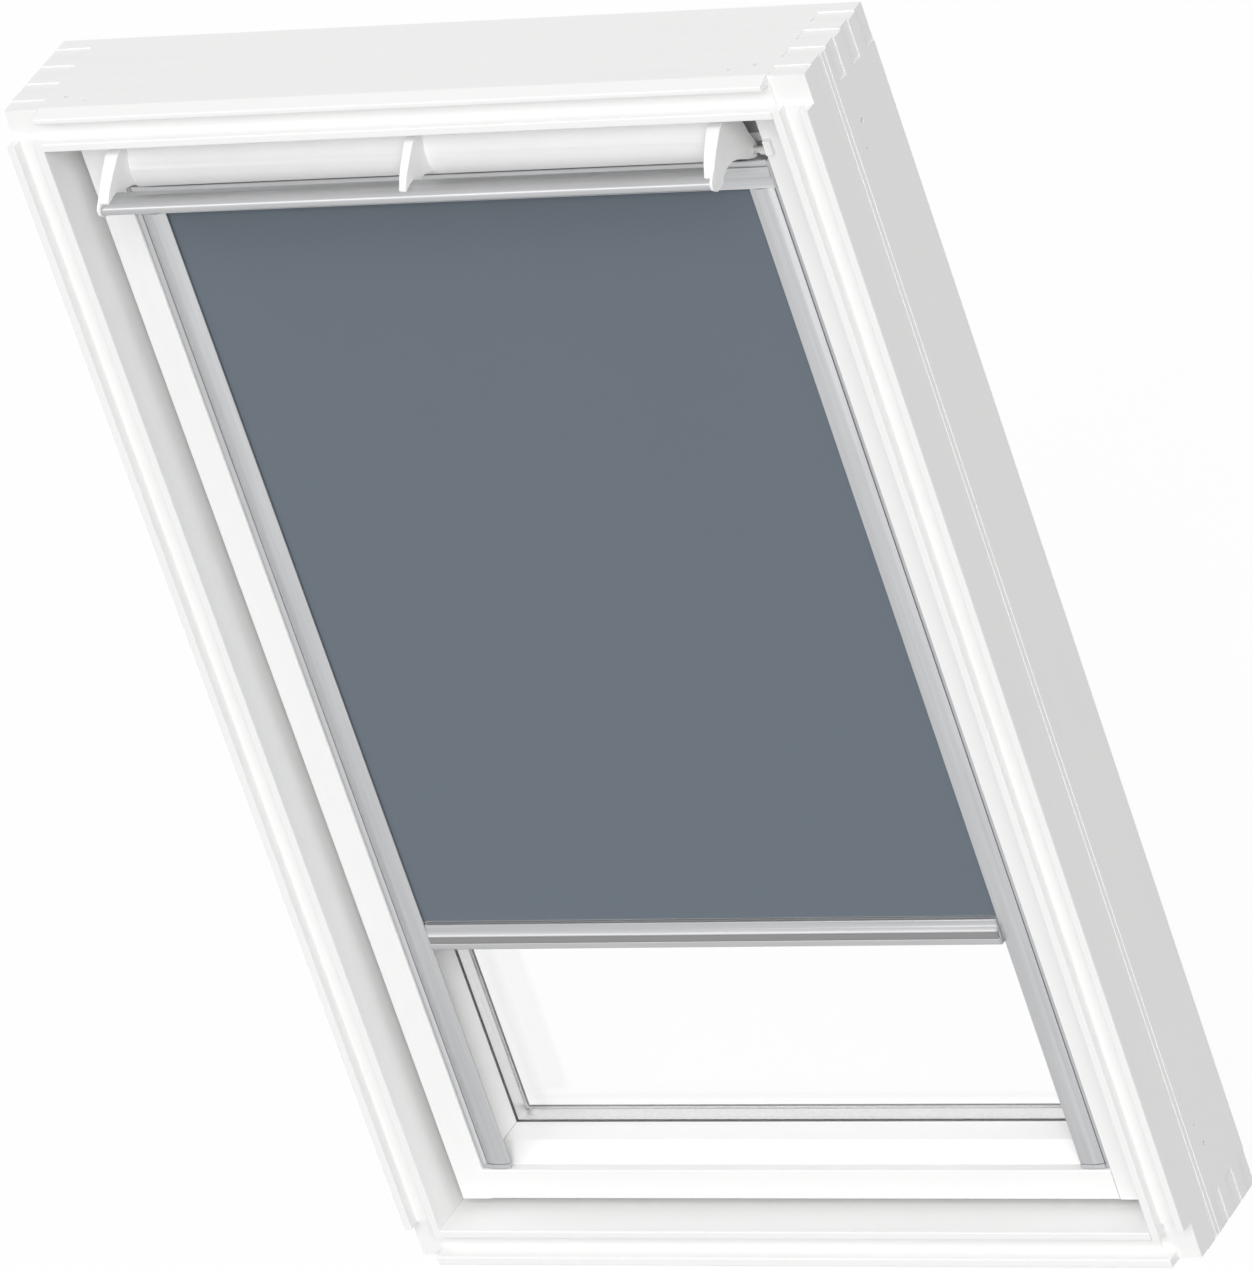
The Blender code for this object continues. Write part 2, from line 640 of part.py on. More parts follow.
def flap_arc(radius, first, last, steps=10):
    """Arc of the flap as (depth, height), from its top edge down."""
    points = []
    for step in range(steps + 1):
        angle = math.radians(first + (last - first) * step / steps)
        points.append((FLAP_ARC_DEPTH - radius * math.cos(angle),
                       FLAP_ARC_HEIGHT + radius * math.sin(angle)))
    return points


def smooth_closed(points, steps):
    """Closed Catmull-Rom curve through a few outline points."""
    outline = []
    count = len(points)
    for index in range(count):
        p0, p1, p2, p3 = (Vector(points[(index + shift) % count]) for shift in (-1, 0, 1, 2))
        for step in range(steps):
            t = step / steps
            outline.append(tuple(0.5 * (2 * p1 + (p2 - p0) * t
                                        + (2 * p0 - 5 * p1 + 4 * p2 - p3) * t * t
                                        + (3 * p1 - p0 - 3 * p2 + p3) * t ** 3)))
    return outline


def bracket_outline():
    """Curved arm from the hub, over the flap, to a hook round the bar.

    Each point is (ahead of the axis, above the axis); the hub and the hook
    follow the hub radius and the bar's place.
    """
    hub = HUB_RADIUS
    front = BAR_AHEAD + BAR_WIDTH / 2
    back = BAR_AHEAD - BAR_WIDTH / 2
    over = BAR_ABOVE + BAR_HEIGHT / 2
    under = BAR_ABOVE - BAR_HEIGHT / 2
    crest = FLAP_RADIUS - FLAP_ARC_BEHIND
    shoulder = FLAP_ARC_ABOVE + 0.36 * FLAP_RADIUS
    points = [(-hub, 0.0), (-0.70 * hub, 0.85 * hub), (0.0, 2.4 * hub), (0.1 * hub, 3.4 * hub),
              (crest - 0.0200, shoulder - 0.0032), (crest - 0.0077, shoulder + 0.0053),
              (crest + 0.0049, shoulder + 0.0021), (crest + 0.0159, shoulder + 0.0003),
              (back + 0.0029, over + 0.0145), (front - 0.0063, over + 0.0083),
              (front + 0.0053, over - 0.0005), (front + 0.0059, over - 0.0043),
              (front - 0.0003, under), (back + 0.0073, under - 0.0043),
              (back - 0.0014, under + 0.0014), (back - 0.0092, under + 0.0068),
              (back - 0.0177, under + 0.0066), (back - 0.0298, under + 0.0020),
              (hub + 0.0057, -0.23 * hub), (0.50 * hub, -0.87 * hub), (0.0, -hub),
              (-0.70 * hub, -0.70 * hub)]
    smooth = smooth_closed(points, 3)
    return [(FLAP_AXIS_AT - ahead, FLAP_AXIS_HEIGHT + above) for ahead, above in smooth]


def bar_section():
    """Control bar as (depth, height): a domed top that falls to a round nose."""
    near = FLAP_AXIS_AT - BAR_AHEAD - BAR_WIDTH / 2
    far = near + BAR_WIDTH
    low = FLAP_AXIS_HEIGHT + BAR_ABOVE - BAR_HEIGHT / 2
    nose = low + BAR_NOSE
    outline = []
    for step in range(11):
        angle = math.radians(9 * step)
        outline.append((far - BAR_WIDTH * math.sin(angle),
                        nose + (BAR_HEIGHT - BAR_NOSE) * math.cos(angle)))
    for step in range(1, 6):
        angle = math.radians(18 * step)
        outline.append((near + BAR_CHIN * (1 - math.cos(angle)), nose - BAR_NOSE * math.sin(angle)))
    return outline + [(far, low)]


def build_flap():
    """Ventilation flap with its brackets, control bar and end caps."""
    outer = flap_arc(FLAP_RADIUS, FLAP_TOP_ANGLE, FLAP_LOW_ANGLE)
    inner = flap_arc(FLAP_RADIUS - FLAP_THICKNESS, FLAP_TOP_ANGLE, FLAP_LOW_ANGLE)
    lip = outer[-1]
    fold = [(lip[0] + FLAP_RETURN, lip[1] - FLAP_THICKNESS / 2),
            (lip[0] + FLAP_RETURN, lip[1] + FLAP_THICKNESS / 2)]
    reach = BRACKET_SPREAD - BRACKET_THICKNESS - GAP
    flap = along_x("vent_flap", outer + fold + inner[::-1], -reach, reach)
    pieces = [paint(flap, *PLASTIC)]
    bar_depth = FLAP_AXIS_AT - BAR_AHEAD
    bar_height = FLAP_AXIS_HEIGHT + BAR_ABOVE
    near, far = bar_depth - BAR_WIDTH / 2, bar_depth + BAR_WIDTH / 2
    low, high = bar_height - BAR_HEIGHT / 2, bar_height + BAR_HEIGHT / 2
    bar_end = BRACKET_SPREAD - BRACKET_PLATE - GAP - BAR_CAP - GAP
    bar = along_x("control_bar", bar_section(), -bar_end, bar_end)
    pieces.append(paint(bar, *ALUMINIUM))
    for word, side in (("left", -1), ("right", 1)):
        span = sorted((side * (bar_end + GAP), side * (bar_end + GAP + BAR_CAP)))
        cap = along_x(f"control_bar_cap_{word}", bar_section(), *span)
        pieces.append(paint(cap, *GREY_PLASTIC))
    outline = bracket_outline()
    pocket_depth = (near - 3 * OVER, far + GAP)
    pocket_height = (low - 3 * OVER, high + GAP)
    for word, side in (("left", -1), ("right", 1)):
        inside = BRACKET_SPREAD - BRACKET_THICKNESS
        span = sorted((side * inside, side * BRACKET_SPREAD))
        bracket = along_x(f"bracket_{word}", outline, *span)
        pocket = sorted((side * (inside - OVER), side * (BRACKET_SPREAD - BRACKET_PLATE)))
        cut(bracket, block(f"bracket_pocket_{word}", pocket, pocket_depth, pocket_height))
        bore = sorted((side * (inside - OVER), side * (BRACKET_SPREAD + OVER)))
        cut(bracket, rod_x(f"bracket_bore_{word}", FLAP_PIN_RADIUS + RUNNING, FLAP_AXIS_AT,
                           FLAP_AXIS_HEIGHT, *bore))
        pieces.append(paint(bracket, *PLASTIC))
    half = MIDDLE_BRACKET_THICKNESS / 2
    middle = along_x("bracket_middle", outline, -half, half)
    seat = flap_arc(FLAP_RADIUS + GAP, 90.0, FLAP_LOW_ANGLE, 20)
    back = FLAP_ARC_DEPTH
    base = low - 3 * OVER
    seat += [(lip[0] - GAP, base), (back, base)]
    cut(middle, along_x("middle_seat", seat, -half - OVER, half + OVER))
    cut(middle, block("middle_pocket", (-half - OVER, half + OVER), pocket_depth, pocket_height))
    pieces.append(paint(middle, *PLASTIC))
    return pieces


def flap_bearings():
    """Plates on the side members with the pins that carry the flap."""
    pieces = []
    for word, side in (("left", -1), ("right", 1)):
        outside = HALF - SASH_INNER - GAP
        inside = outside - BEARING_THICKNESS
        plate = circle(BEARING_RADIUS, (FLAP_AXIS_AT, FLAP_AXIS_HEIGHT), 28)
        bearing = along_x(f"flap_bearing_{word}", plate, *sorted((side * inside, side * outside)))
        boss = sorted((side * (outside - BEARING_BOSS), side * (inside + BEARING_THICKNESS / 3)))
        join(bearing, rod_x(f"flap_boss_{word}", BEARING_BOSS_RADIUS, FLAP_AXIS_AT,
                            FLAP_AXIS_HEIGHT, *boss, count=24))
        pin_inside = BRACKET_SPREAD - BRACKET_THICKNESS
        span = sorted((side * pin_inside, side * (inside + BEARING_THICKNESS / 2)))
        join(bearing, rod_x(f"flap_pin_{word}", FLAP_PIN_RADIUS, FLAP_AXIS_AT,
                            FLAP_AXIS_HEIGHT, *span))
        pieces.append(paint(bearing, *STEEL))
    return pieces


def vent_filters():
    """Foam filter strips behind the flap, on both sides of the lock."""
    pieces = []
    back = SASH_FRONT + TOP_RAIL_SETBACK - GAP
    top = head(SASH_EDGE) - FILTER_BELOW_TOP
    for word, side in (("left", -1), ("right", 1)):
        near = LOCK_WIDTH / 2 + FILTER_TO_LOCK
        far = HALF - SASH_INNER - 2 * GAP
        strip = block(f"vent_filter_{word}", sorted((side * near, side * far)),
                      (back - FILTER_THICKNESS, back), (top - FILTER_HEIGHT, top))
        pieces.append(paint(strip, *RUBBER))
    return pieces


def build_lock():
    """Lock case on the sash, its sliding bolt, and the keeper on the frame."""
    back = SASH_FRONT + TOP_RAIL_SETBACK - GAP
    bolt_back = back - LOCK_WALL - RUNNING
    bolt_front = bolt_back - BOLT_THICKNESS
    front = bolt_front - RUNNING - LOCK_WALL
    top = head(SASH_EDGE) - LOCK_BELOW_TOP
    half = LOCK_WIDTH / 2
    guide = BOLT_WIDTH / 2 + RUNNING
    case = block("lock_case", (-half, half), (front, back), (top - LOCK_HEIGHT, top))
    cut(case, block("lock_channel", (-guide, guide), (bolt_front - RUNNING, bolt_back + RUNNING),
                    (top - LOCK_HEIGHT - OVER, top + OVER)))
    paint(case, *STEEL)
    keeper_face = WALL + GAP + KEEPER_THICKNESS
    tip = head(keeper_face + BOLT_CLEARANCE)
    half_bolt = BOLT_WIDTH / 2
    bolt = block("latch_bolt", (-half_bolt, half_bolt), (bolt_front, bolt_back),
                 (tip - BOLT_HEIGHT, tip))
    paint(bolt, *STEEL)
    middle = (bolt_front + bolt_back) / 2
    half_keeper = KEEPER_WIDTH / 2
    keeper = block("striker_plate", (-half_keeper, half_keeper),
                   (middle - KEEPER_DEPTH / 2, middle + KEEPER_DEPTH / 2),
                   (head(keeper_face), head(WALL + GAP)))
    cut(keeper, block("striker_slot", (-guide - GAP, guide + GAP),
                      (bolt_front - 2 * RUNNING, bolt_back + 2 * RUNNING),
                      (head(keeper_face + OVER), head(WALL + GAP - OVER))))
    paint(keeper, *STEEL)
    return case, bolt


def barrel_x():
    """World X of the barrel bolt, just outside the sash's inner edge."""
    return HALF - SASH_INNER + BARREL_IN


def barrel_rod(name, radius, start, end):
    outline = circle(radius, (barrel_x(), SASH_FRONT + BARREL_DEEP), 16)
    return along_z(name, outline, start, end)


def barrel_neck_range():
    """Lowest and highest place of the knob's neck over its travel."""
    low = head(SASH_EDGE) - BARREL_KNOB_DROP - BARREL_KNOB_HEIGHT + 2 * GAP
    return low, low + BARREL_NECK + BARREL_BOLT_TRAVEL


def barrel_slot(name, clearance):
    low, high = barrel_neck_range()
    half = BARREL_NECK / 2 + clearance
    return block(name, (barrel_x() - half, barrel_x() + half),
                 (SASH_FRONT - OVER, SASH_FRONT + BARREL_DEEP), (low - clearance, high + clearance))


def build_barrel_bolt():
    """Bolt in a bore of the sash member, with its knob over the slot in the face."""
    x = barrel_x()
    low = barrel_neck_range()[0]
    tip = head(SASH_EDGE - BARREL_TIP_PROUD)
    bolt = barrel_rod("barrel_bolt", BARREL_BOLT_RADIUS, low - BARREL_NECK, tip)
    half = BARREL_NECK / 2
    knob_back = SASH_FRONT - GAP
    knob_front = knob_back - BARREL_KNOB_DEPTH
    join(bolt, block("barrel_neck", (x - half, x + half),
                     (knob_back - GAP, SASH_FRONT + BARREL_DEEP), (low, low + BARREL_NECK)))
    half = BARREL_KNOB_WIDTH / 2
    middle = head(SASH_EDGE) - BARREL_KNOB_DROP - BARREL_KNOB_HEIGHT / 2
    tall = BARREL_KNOB_HEIGHT / 2
    knob = block("barrel_knob", (x - half, x + half), (knob_front, knob_back),
                 (middle - tall, middle + tall))
    for number, shift in enumerate((-0.2, 0.2)):
        groove = x + shift * BARREL_KNOB_WIDTH
        width = BARREL_KNOB_WIDTH / 12
        cut(knob, block(f"barrel_groove_{number}", (groove - width, groove + width),
                        (knob_front - OVER, knob_front + BARREL_KNOB_DEPTH / 6),
                        (middle - 0.8 * tall, middle + 0.8 * tall)))
    join(bolt, knob)
    return paint(bolt, *PLASTIC)


def rail_section(side, slotted=True):
    """Curved channel that guides the cloth edge, as (x, depth)."""
    outside = BLIND_HALF_WIDTH
    inside = outside - RAIL_WIDTH
    front = []
    slot = RAIL_FRONT + RAIL_CROWN + RAIL_FLANGE
    front.append((outside, RAIL_FRONT + RAIL_EDGE_DROP))
    front.append((outside - RAIL_EDGE_WIDTH, RAIL_FRONT + RAIL_EDGE_DROP))
    for step in range(9):
        share = step / 8
        crown = RAIL_CROWN * 4 * (share - 0.5) ** 2
        across = RAIL_EDGE_WIDTH + (RAIL_WIDTH - RAIL_EDGE_WIDTH) * share
        front.append((outside - across, RAIL_FRONT + crown))
    back = slot + RAIL_SLOT + RAIL_BACK_FLANGE
    channel = [(inside, slot), (inside + RAIL_WEB, slot)]
    if slotted:
        channel = [(inside, slot), (outside - RAIL_WEB, slot),
                   (outside - RAIL_WEB, slot + RAIL_SLOT), (inside + RAIL_WEB, slot + RAIL_SLOT)]
    channel += [(inside + RAIL_WEB, back), (outside, back)]
    return [(side * x, d) for x, d in front + channel]


def build_blind_rails():
    pieces = []
    for word, side in (("left", -1), ("right", 1)):
        rail = along_z(f"blind_rail_{word}", rail_section(side), RAIL_BASE + RAIL_FOOT + GAP,
                       HEADBOX_BASE - GAP)
        pieces.append(paint(rail, *ALUMINIUM))
        foot = along_z(f"rail_foot_{word}", rail_section(side, slotted=False), RAIL_BASE,
                       RAIL_BASE + RAIL_FOOT)
        pieces.append(paint(foot, *ALUMINIUM))
    return pieces


def headbox_section():
    """Open cover round the roller, with a mouth under its front wall."""
    front, back = RAIL_FRONT, RAIL_FRONT + HEADBOX_DEPTH
    base, top = HEADBOX_BASE, HEADBOX_TOP
    wall = HEADBOX_WALL
    inner_corner = HEADBOX_CORNER - wall
    mouth = front + HEADBOX_MOUTH
    outer = [(mouth, base), (back, base, HEADBOX_CORNER), (back, top, HEADBOX_CORNER),
             (front, top, HEADBOX_CORNER), (front, base), (front + wall, base)]
    inner = [(front + wall, top - wall, inner_corner), (back - wall, top - wall, inner_corner),
             (back - wall, base + wall, inner_corner), (mouth, base + wall)]
    return rounded(outer + inner, 4)


def build_headbox():
    pieces = []
    reach = BLIND_HALF_WIDTH - END_CAP_THICKNESS - GAP
    box = along_x("blind_headbox", headbox_section(), -reach, reach)
    pieces.append(paint(box, *ALUMINIUM))
    front, back = RAIL_FRONT, RAIL_FRONT + HEADBOX_DEPTH
    for word, side in (("left", -1), ("right", 1)):
        outline = rounded([(front, HEADBOX_BASE), (back, HEADBOX_BASE, HEADBOX_CORNER),
                           (back, HEADBOX_TOP, HEADBOX_CORNER),
                           (front, HEADBOX_TOP, HEADBOX_CORNER)], 4)
        span = sorted((side * (reach + GAP), side * BLIND_HALF_WIDTH))
        cap = along_x(f"headbox_cap_{word}", outline, *span)
        bore = sorted((side * reach, side * (BLIND_HALF_WIDTH + OVER)))
        cut(cap, rod_x(f"headbox_bore_{word}", ROLLER_PIN_RADIUS + RUNNING, ROLLER_AT,
                       ROLLER_HEIGHT, *bore, count=16))
        pieces.append(paint(cap, *GREY_PLASTIC))
        wide = HALF - SASH_INNER - GAP
        clip_base = HEADBOX_TOP + GAP
        clip_near = RAIL_FRONT + CLIP_SETBACK
        clip_depth = (clip_near, clip_near + CLIP_DEPTH)
        clip = block(f"blind_clip_{word}", sorted((side * (wide - CLIP_WIDTH), side * wide)),
                     clip_depth, (clip_base, clip_base + CLIP_HEIGHT))
        inside = wide - CLIP_WIDTH
        cut(clip, block(f"clip_relief_{word}",
                        sorted((side * (inside - OVER), side * (wide - CLIP_WALL))),
                        (clip_depth[0] + CLIP_WALL, clip_depth[1] + OVER),
                        (clip_base + CLIP_WALL, clip_base + CLIP_HEIGHT + OVER)))
        pieces.append(paint(clip, *PLASTIC))
    return pieces


def tube_x(name, outer, inner, depth, height, start, end, count=24):
    """Open tube along X."""
    shape = bmesh.new()
    loops = []
    for radius, x in ((outer, start), (outer, end), (inner, end), (inner, start)):
        loops.append([shape.verts.new((x, deep(d), z))
                      for d, z in circle(radius, (depth, height), count)])
    for ring in range(4):
        here, there = loops[ring], loops[(ring + 1) % 4]
        for index in range(count):
            after = (index + 1) % count
            shape.faces.new((here[index], here[after], there[after], there[index]))
    return keep(name, shape)


def build_roller():
    """Spring roller: tube, end plugs with stub pins, and the wound cloth."""
    pieces = []
    cap_inside = BLIND_HALF_WIDTH - END_CAP_THICKNESS
    tube_end = cap_inside - PLUG_COLLAR - PLUG_END_PLAY
    tube = tube_x("roller_tube", ROLLER_RADIUS, ROLLER_RADIUS - ROLLER_WALL, ROLLER_AT,
                  ROLLER_HEIGHT, -tube_end, tube_end)
    pieces.append(paint(tube, *ALUMINIUM))
    cloth = BLIND_HALF_WIDTH - RAIL_WIDTH + GLIDE_LENGTH
    roll = tube_x("fabric_roll", ROLL_RADIUS, ROLLER_RADIUS + GAP, ROLLER_AT, ROLLER_HEIGHT,
                  -cloth, cloth, 32)
    pieces.append(paint(roll, *SLATE))
    for word, side in (("left", -1), ("right", 1)):
        inner_radius = ROLLER_RADIUS - ROLLER_WALL - GAP
        span = sorted((side * (tube_end - PLUG_LENGTH), side * (tube_end + GAP)))
        plug = rod_x(f"roller_plug_{word}", inner_radius, ROLLER_AT, ROLLER_HEIGHT, *span, count=20)
        collar = sorted((side * (tube_end + GAP / 2), side * (tube_end + PLUG_COLLAR)))
        join(plug, rod_x(f"roller_collar_{word}", ROLLER_RADIUS, ROLLER_AT, ROLLER_HEIGHT,
                         *collar, count=20))
        stub = sorted((side * (tube_end - GAP), side * (BLIND_HALF_WIDTH - GAP)))
        join(plug, rod_x(f"roller_stub_{word}", ROLLER_PIN_RADIUS, ROLLER_AT, ROLLER_HEIGHT,
                         *stub, count=16))
        pieces.append(paint(plug, *GREY_PLASTIC))
    return pieces


def build_bottom_bar():
    """Bar at the foot of the cloth, with the tongues that run in the rails."""
    front = RAIL_FRONT - BOTTOM_BAR_PROUD
    back = front + BOTTOM_BAR_DEPTH
    base = BOTTOM_BAR_AT
    top = base + BOTTOM_BAR_HEIGHT
    lip = base + BOTTOM_BAR_LIP
    ledge = lip + BOTTOM_BAR_GROOVE
    section = [(front, base, 0.0010), (front, lip, 0.0006), (front + BOTTOM_BAR_CUT, lip),
               (front + BOTTOM_BAR_CUT, ledge), (front - 0.0008, ledge, 0.0008),
               (front + 0.0004, top, 0.0015), (back, top, 0.0010), (back, base, 0.0020)]
    reach = BLIND_HALF_WIDTH - RAIL_WIDTH - BAR_TO_RAIL
    bar = along_x("bottom_bar", rounded(section), -reach, reach)
    pieces = [paint(bar, *ALUMINIUM)]
    for word, side in (("left", -1), ("right", 1)):
        half = RAIL_SLOT / 2 - RUNNING
        start = reach + GAP
        end = BLIND_HALF_WIDTH - RAIL_WIDTH + GLIDE_LENGTH
        glide = block(f"bar_glide_{word}", sorted((side * start, side * end)),
                      (FABRIC_AT - half, FABRIC_AT + half), (base + GLIDE_INSET, top - GLIDE_INSET))
        pieces.append(paint(glide, *GREY_PLASTIC))
    return pieces


def build_fabric():
    """Cloth from the roll down to the bottom bar, its edges in the rails."""
    edge = BLIND_HALF_WIDTH - RAIL_WIDTH + GLIDE_LENGTH
    top = BOTTOM_BAR_AT + BOTTOM_BAR_HEIGHT
    cloth = block("blind_fabric", (-edge, edge),
                  (FABRIC_AT - FABRIC_THICKNESS / 2, FABRIC_AT + FABRIC_THICKNESS / 2),
                  (top + GAP, ROLLER_HEIGHT))
    return paint(cloth, *SLATE)


def build():
    clear_scene()
    build_frame()
    sash_axis = axis_empty("sash_axis", PIVOT_AT, PIVOT_HEIGHT)
    flap_axis = axis_empty("flap_axis", FLAP_AXIS_AT, FLAP_AXIS_HEIGHT)
    roller_axis = axis_empty("roller_axis", ROLLER_AT, ROLLER_HEIGHT)
    bar_guide = axis_empty("bottom_bar_guide", FABRIC_AT, BOTTOM_BAR_AT)
    case, bolt = build_lock()
    bolt_guide = axis_empty("latch_guide", SASH_FRONT + TOP_RAIL_SETBACK, head(SASH_EDGE))
    barrel = build_barrel_bolt()
    on_sash = pivot_plates() + build_sash() + build_glazing() + flap_bearings() + vent_filters()
    on_sash += build_blind_rails() + build_headbox() + [build_fabric(), case]
    carried_by(sash_axis, on_sash)
    carried_by(flap_axis, build_flap())
    carried_by(roller_axis, build_roller())
    carried_by(bar_guide, build_bottom_bar())
    carried_by(bolt_guide, [bolt])
    barrel_guide = axis_empty("barrel_guide", SASH_FRONT + BARREL_DEEP, head(SASH_EDGE))
    carried_by(barrel_guide, [barrel])
    for child in (flap_axis, roller_axis, bar_guide, bolt_guide, barrel_guide):
        child.parent = sash_axis
        child.matrix_parent_inverse = Matrix.Translation(sash_axis.location).inverted()


build()
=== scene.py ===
"""Looks of the roof window and its roller blind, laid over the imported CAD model.

Lengths are in metres. A depth is measured behind the room-side lip of the frame.
A point of an outline may carry a third value, the radius of its rounded corner.
"""
import math

import bmesh
import bpy
from mathutils import Matrix, Vector


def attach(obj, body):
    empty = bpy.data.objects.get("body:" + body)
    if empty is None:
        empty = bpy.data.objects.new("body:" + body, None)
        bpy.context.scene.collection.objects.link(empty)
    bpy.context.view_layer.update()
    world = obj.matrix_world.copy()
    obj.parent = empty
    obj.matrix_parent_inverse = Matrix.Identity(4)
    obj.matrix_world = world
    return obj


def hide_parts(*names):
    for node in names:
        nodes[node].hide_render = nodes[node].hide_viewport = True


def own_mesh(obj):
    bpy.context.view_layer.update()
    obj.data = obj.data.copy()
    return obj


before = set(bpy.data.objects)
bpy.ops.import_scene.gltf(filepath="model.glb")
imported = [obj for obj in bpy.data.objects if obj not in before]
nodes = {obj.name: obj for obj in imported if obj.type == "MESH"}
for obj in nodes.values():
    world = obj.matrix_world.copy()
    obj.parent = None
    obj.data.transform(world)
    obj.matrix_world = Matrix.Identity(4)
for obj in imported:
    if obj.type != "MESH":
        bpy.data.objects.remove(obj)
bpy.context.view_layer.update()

# Places and sizes shared with the CAD model
MID_DEPTH = 0.06375
BLIND_HALF = 0.3133
RAIL_WIDTH = 0.0285
RAIL_FRONT = 0.0375
RAIL_BASE = 0.0812
RAIL_TOP = 1.0567
HEADBOX_HALF = 0.3100
HEADBOX_DEPTH = 0.0290
HEADBOX_BASE = 1.0570
HEADBOX_TOP = 1.0835
FABRIC_DEPTH = 0.0419
ROLLER_DEPTH = 0.05085
ROLLER_HEIGHT = 1.07025
CLOTH_EDGE = 0.2928
BAR_TOP = 0.3350
BAR_BASE = 0.3090
BAR_FRONT = 0.0355
BAR_BACK = 0.0465
BAR_GAP = 0.0012
FLAP_AXIS_DEPTH = 0.0440
FLAP_AXIS_HEIGHT = 1.0910
FLAP_HALF = 0.2907

SIDES = (("left", -1), ("right", 1))


def at(depth):
    """Y of a depth."""
    return depth - MID_DEPTH


# Camera, fitted to the photo
LENS = 393.2524
SENSOR_WIDTH = 36.0
CAMERA_PLACE = (6.032767, -8.523360, 6.017940)
CAMERA_TURN = ((0.858240, 0.019445, 0.512879),
               (0.420818, 0.545418, -0.724866),
               (-0.293829, 0.837939, 0.459917))

# Light from all round, and two wide lamps: name, strength, direction that the
# light comes from, and spread in degrees
DOME = 0.55
LAMPS = (("key", 1.84, (0.36, -0.79, 0.50), 50),
         ("edge", 0.24, (-0.51, -0.46, 0.73), 26))
WHITE = (1.0, 1.0, 1.0, 1.0)


def build_camera():
    scene = bpy.context.scene
    data = bpy.data.cameras.new("photo_camera")
    data.sensor_width = SENSOR_WIDTH
    data.sensor_fit = "AUTO"
    data.lens = LENS
    data.clip_start = 0.1
    data.clip_end = 100.0
    camera = bpy.data.objects.new("photo_camera", data)
    place = Matrix.Translation(CAMERA_PLACE)
    camera.matrix_world = place @ Matrix(CAMERA_TURN).to_4x4()
    scene.collection.objects.link(camera)
    scene.camera = camera


def direct_view(tree):
    """1 for the rays that show the background: seen, mirrored or through glass."""
    path = tree.nodes.new("ShaderNodeLightPath")
    seen = path.outputs["Is Camera Ray"]
    for ray in ("Is Glossy Ray", "Is Transmission Ray"):
        larger = tree.nodes.new("ShaderNodeMath")
        larger.operation = "MAXIMUM"
        tree.links.new(seen, larger.inputs[0])
        tree.links.new(path.outputs[ray], larger.inputs[1])
        seen = larger.outputs[0]
    return seen


def mixed_shaders(tree, factor, first, second):
    """Mix of two shaders; the factor is a socket or a number."""
    mix = tree.nodes.new("ShaderNodeMixShader")
    if isinstance(factor, float):
        mix.inputs[0].default_value = factor
    else:
        tree.links.new(factor, mix.inputs[0])
    tree.links.new(first, mix.inputs[1])
    tree.links.new(second, mix.inputs[2])
    return mix.outputs[0]


def background(tree, strength):
    node = tree.nodes.new("ShaderNodeBackground")
    node.inputs["Color"].default_value = WHITE
    node.inputs["Strength"].default_value = strength
    return node.outputs[0]


def build_light():
    """Plain light on the object, and a white world where the world itself shows."""
    scene = bpy.context.scene
    scene.world = bpy.data.worlds.new("studio")
    scene.world.use_nodes = True
    tree = scene.world.node_tree
    tree.nodes.clear()
    output = tree.nodes.new("ShaderNodeOutputWorld")
    shown = mixed_shaders(tree, direct_view(tree), background(tree, DOME),
                          background(tree, 1.0))
    tree.links.new(shown, output.inputs["Surface"])
    for name, strength, source, spread in LAMPS:
        sun = bpy.data.lights.new(name, "SUN")
        sun.energy = strength
        sun.angle = math.radians(spread)
        lamp = bpy.data.objects.new(name, sun)
        lamp.rotation_euler = Vector(source).to_track_quat("Z", "Y").to_euler()
        scene.collection.objects.link(lamp)
    scene.view_settings.view_transform = "Standard"


# Materials: how the grain, the draw lines and the slubs are stretched
UPRIGHT_GRAIN = (1.0, 1.0, 0.04)
CROSS_GRAIN = (0.04, 1.0, 1.0)
UPRIGHT_LINES = (1.0, 1.0, 0.03)
CROSS_LINES = (0.03, 1.0, 1.0)
SPACER_LINES = (1.0, 1.0, 0.05)
SLUB_SHAPE = (1.0, 1.0, 14.0)


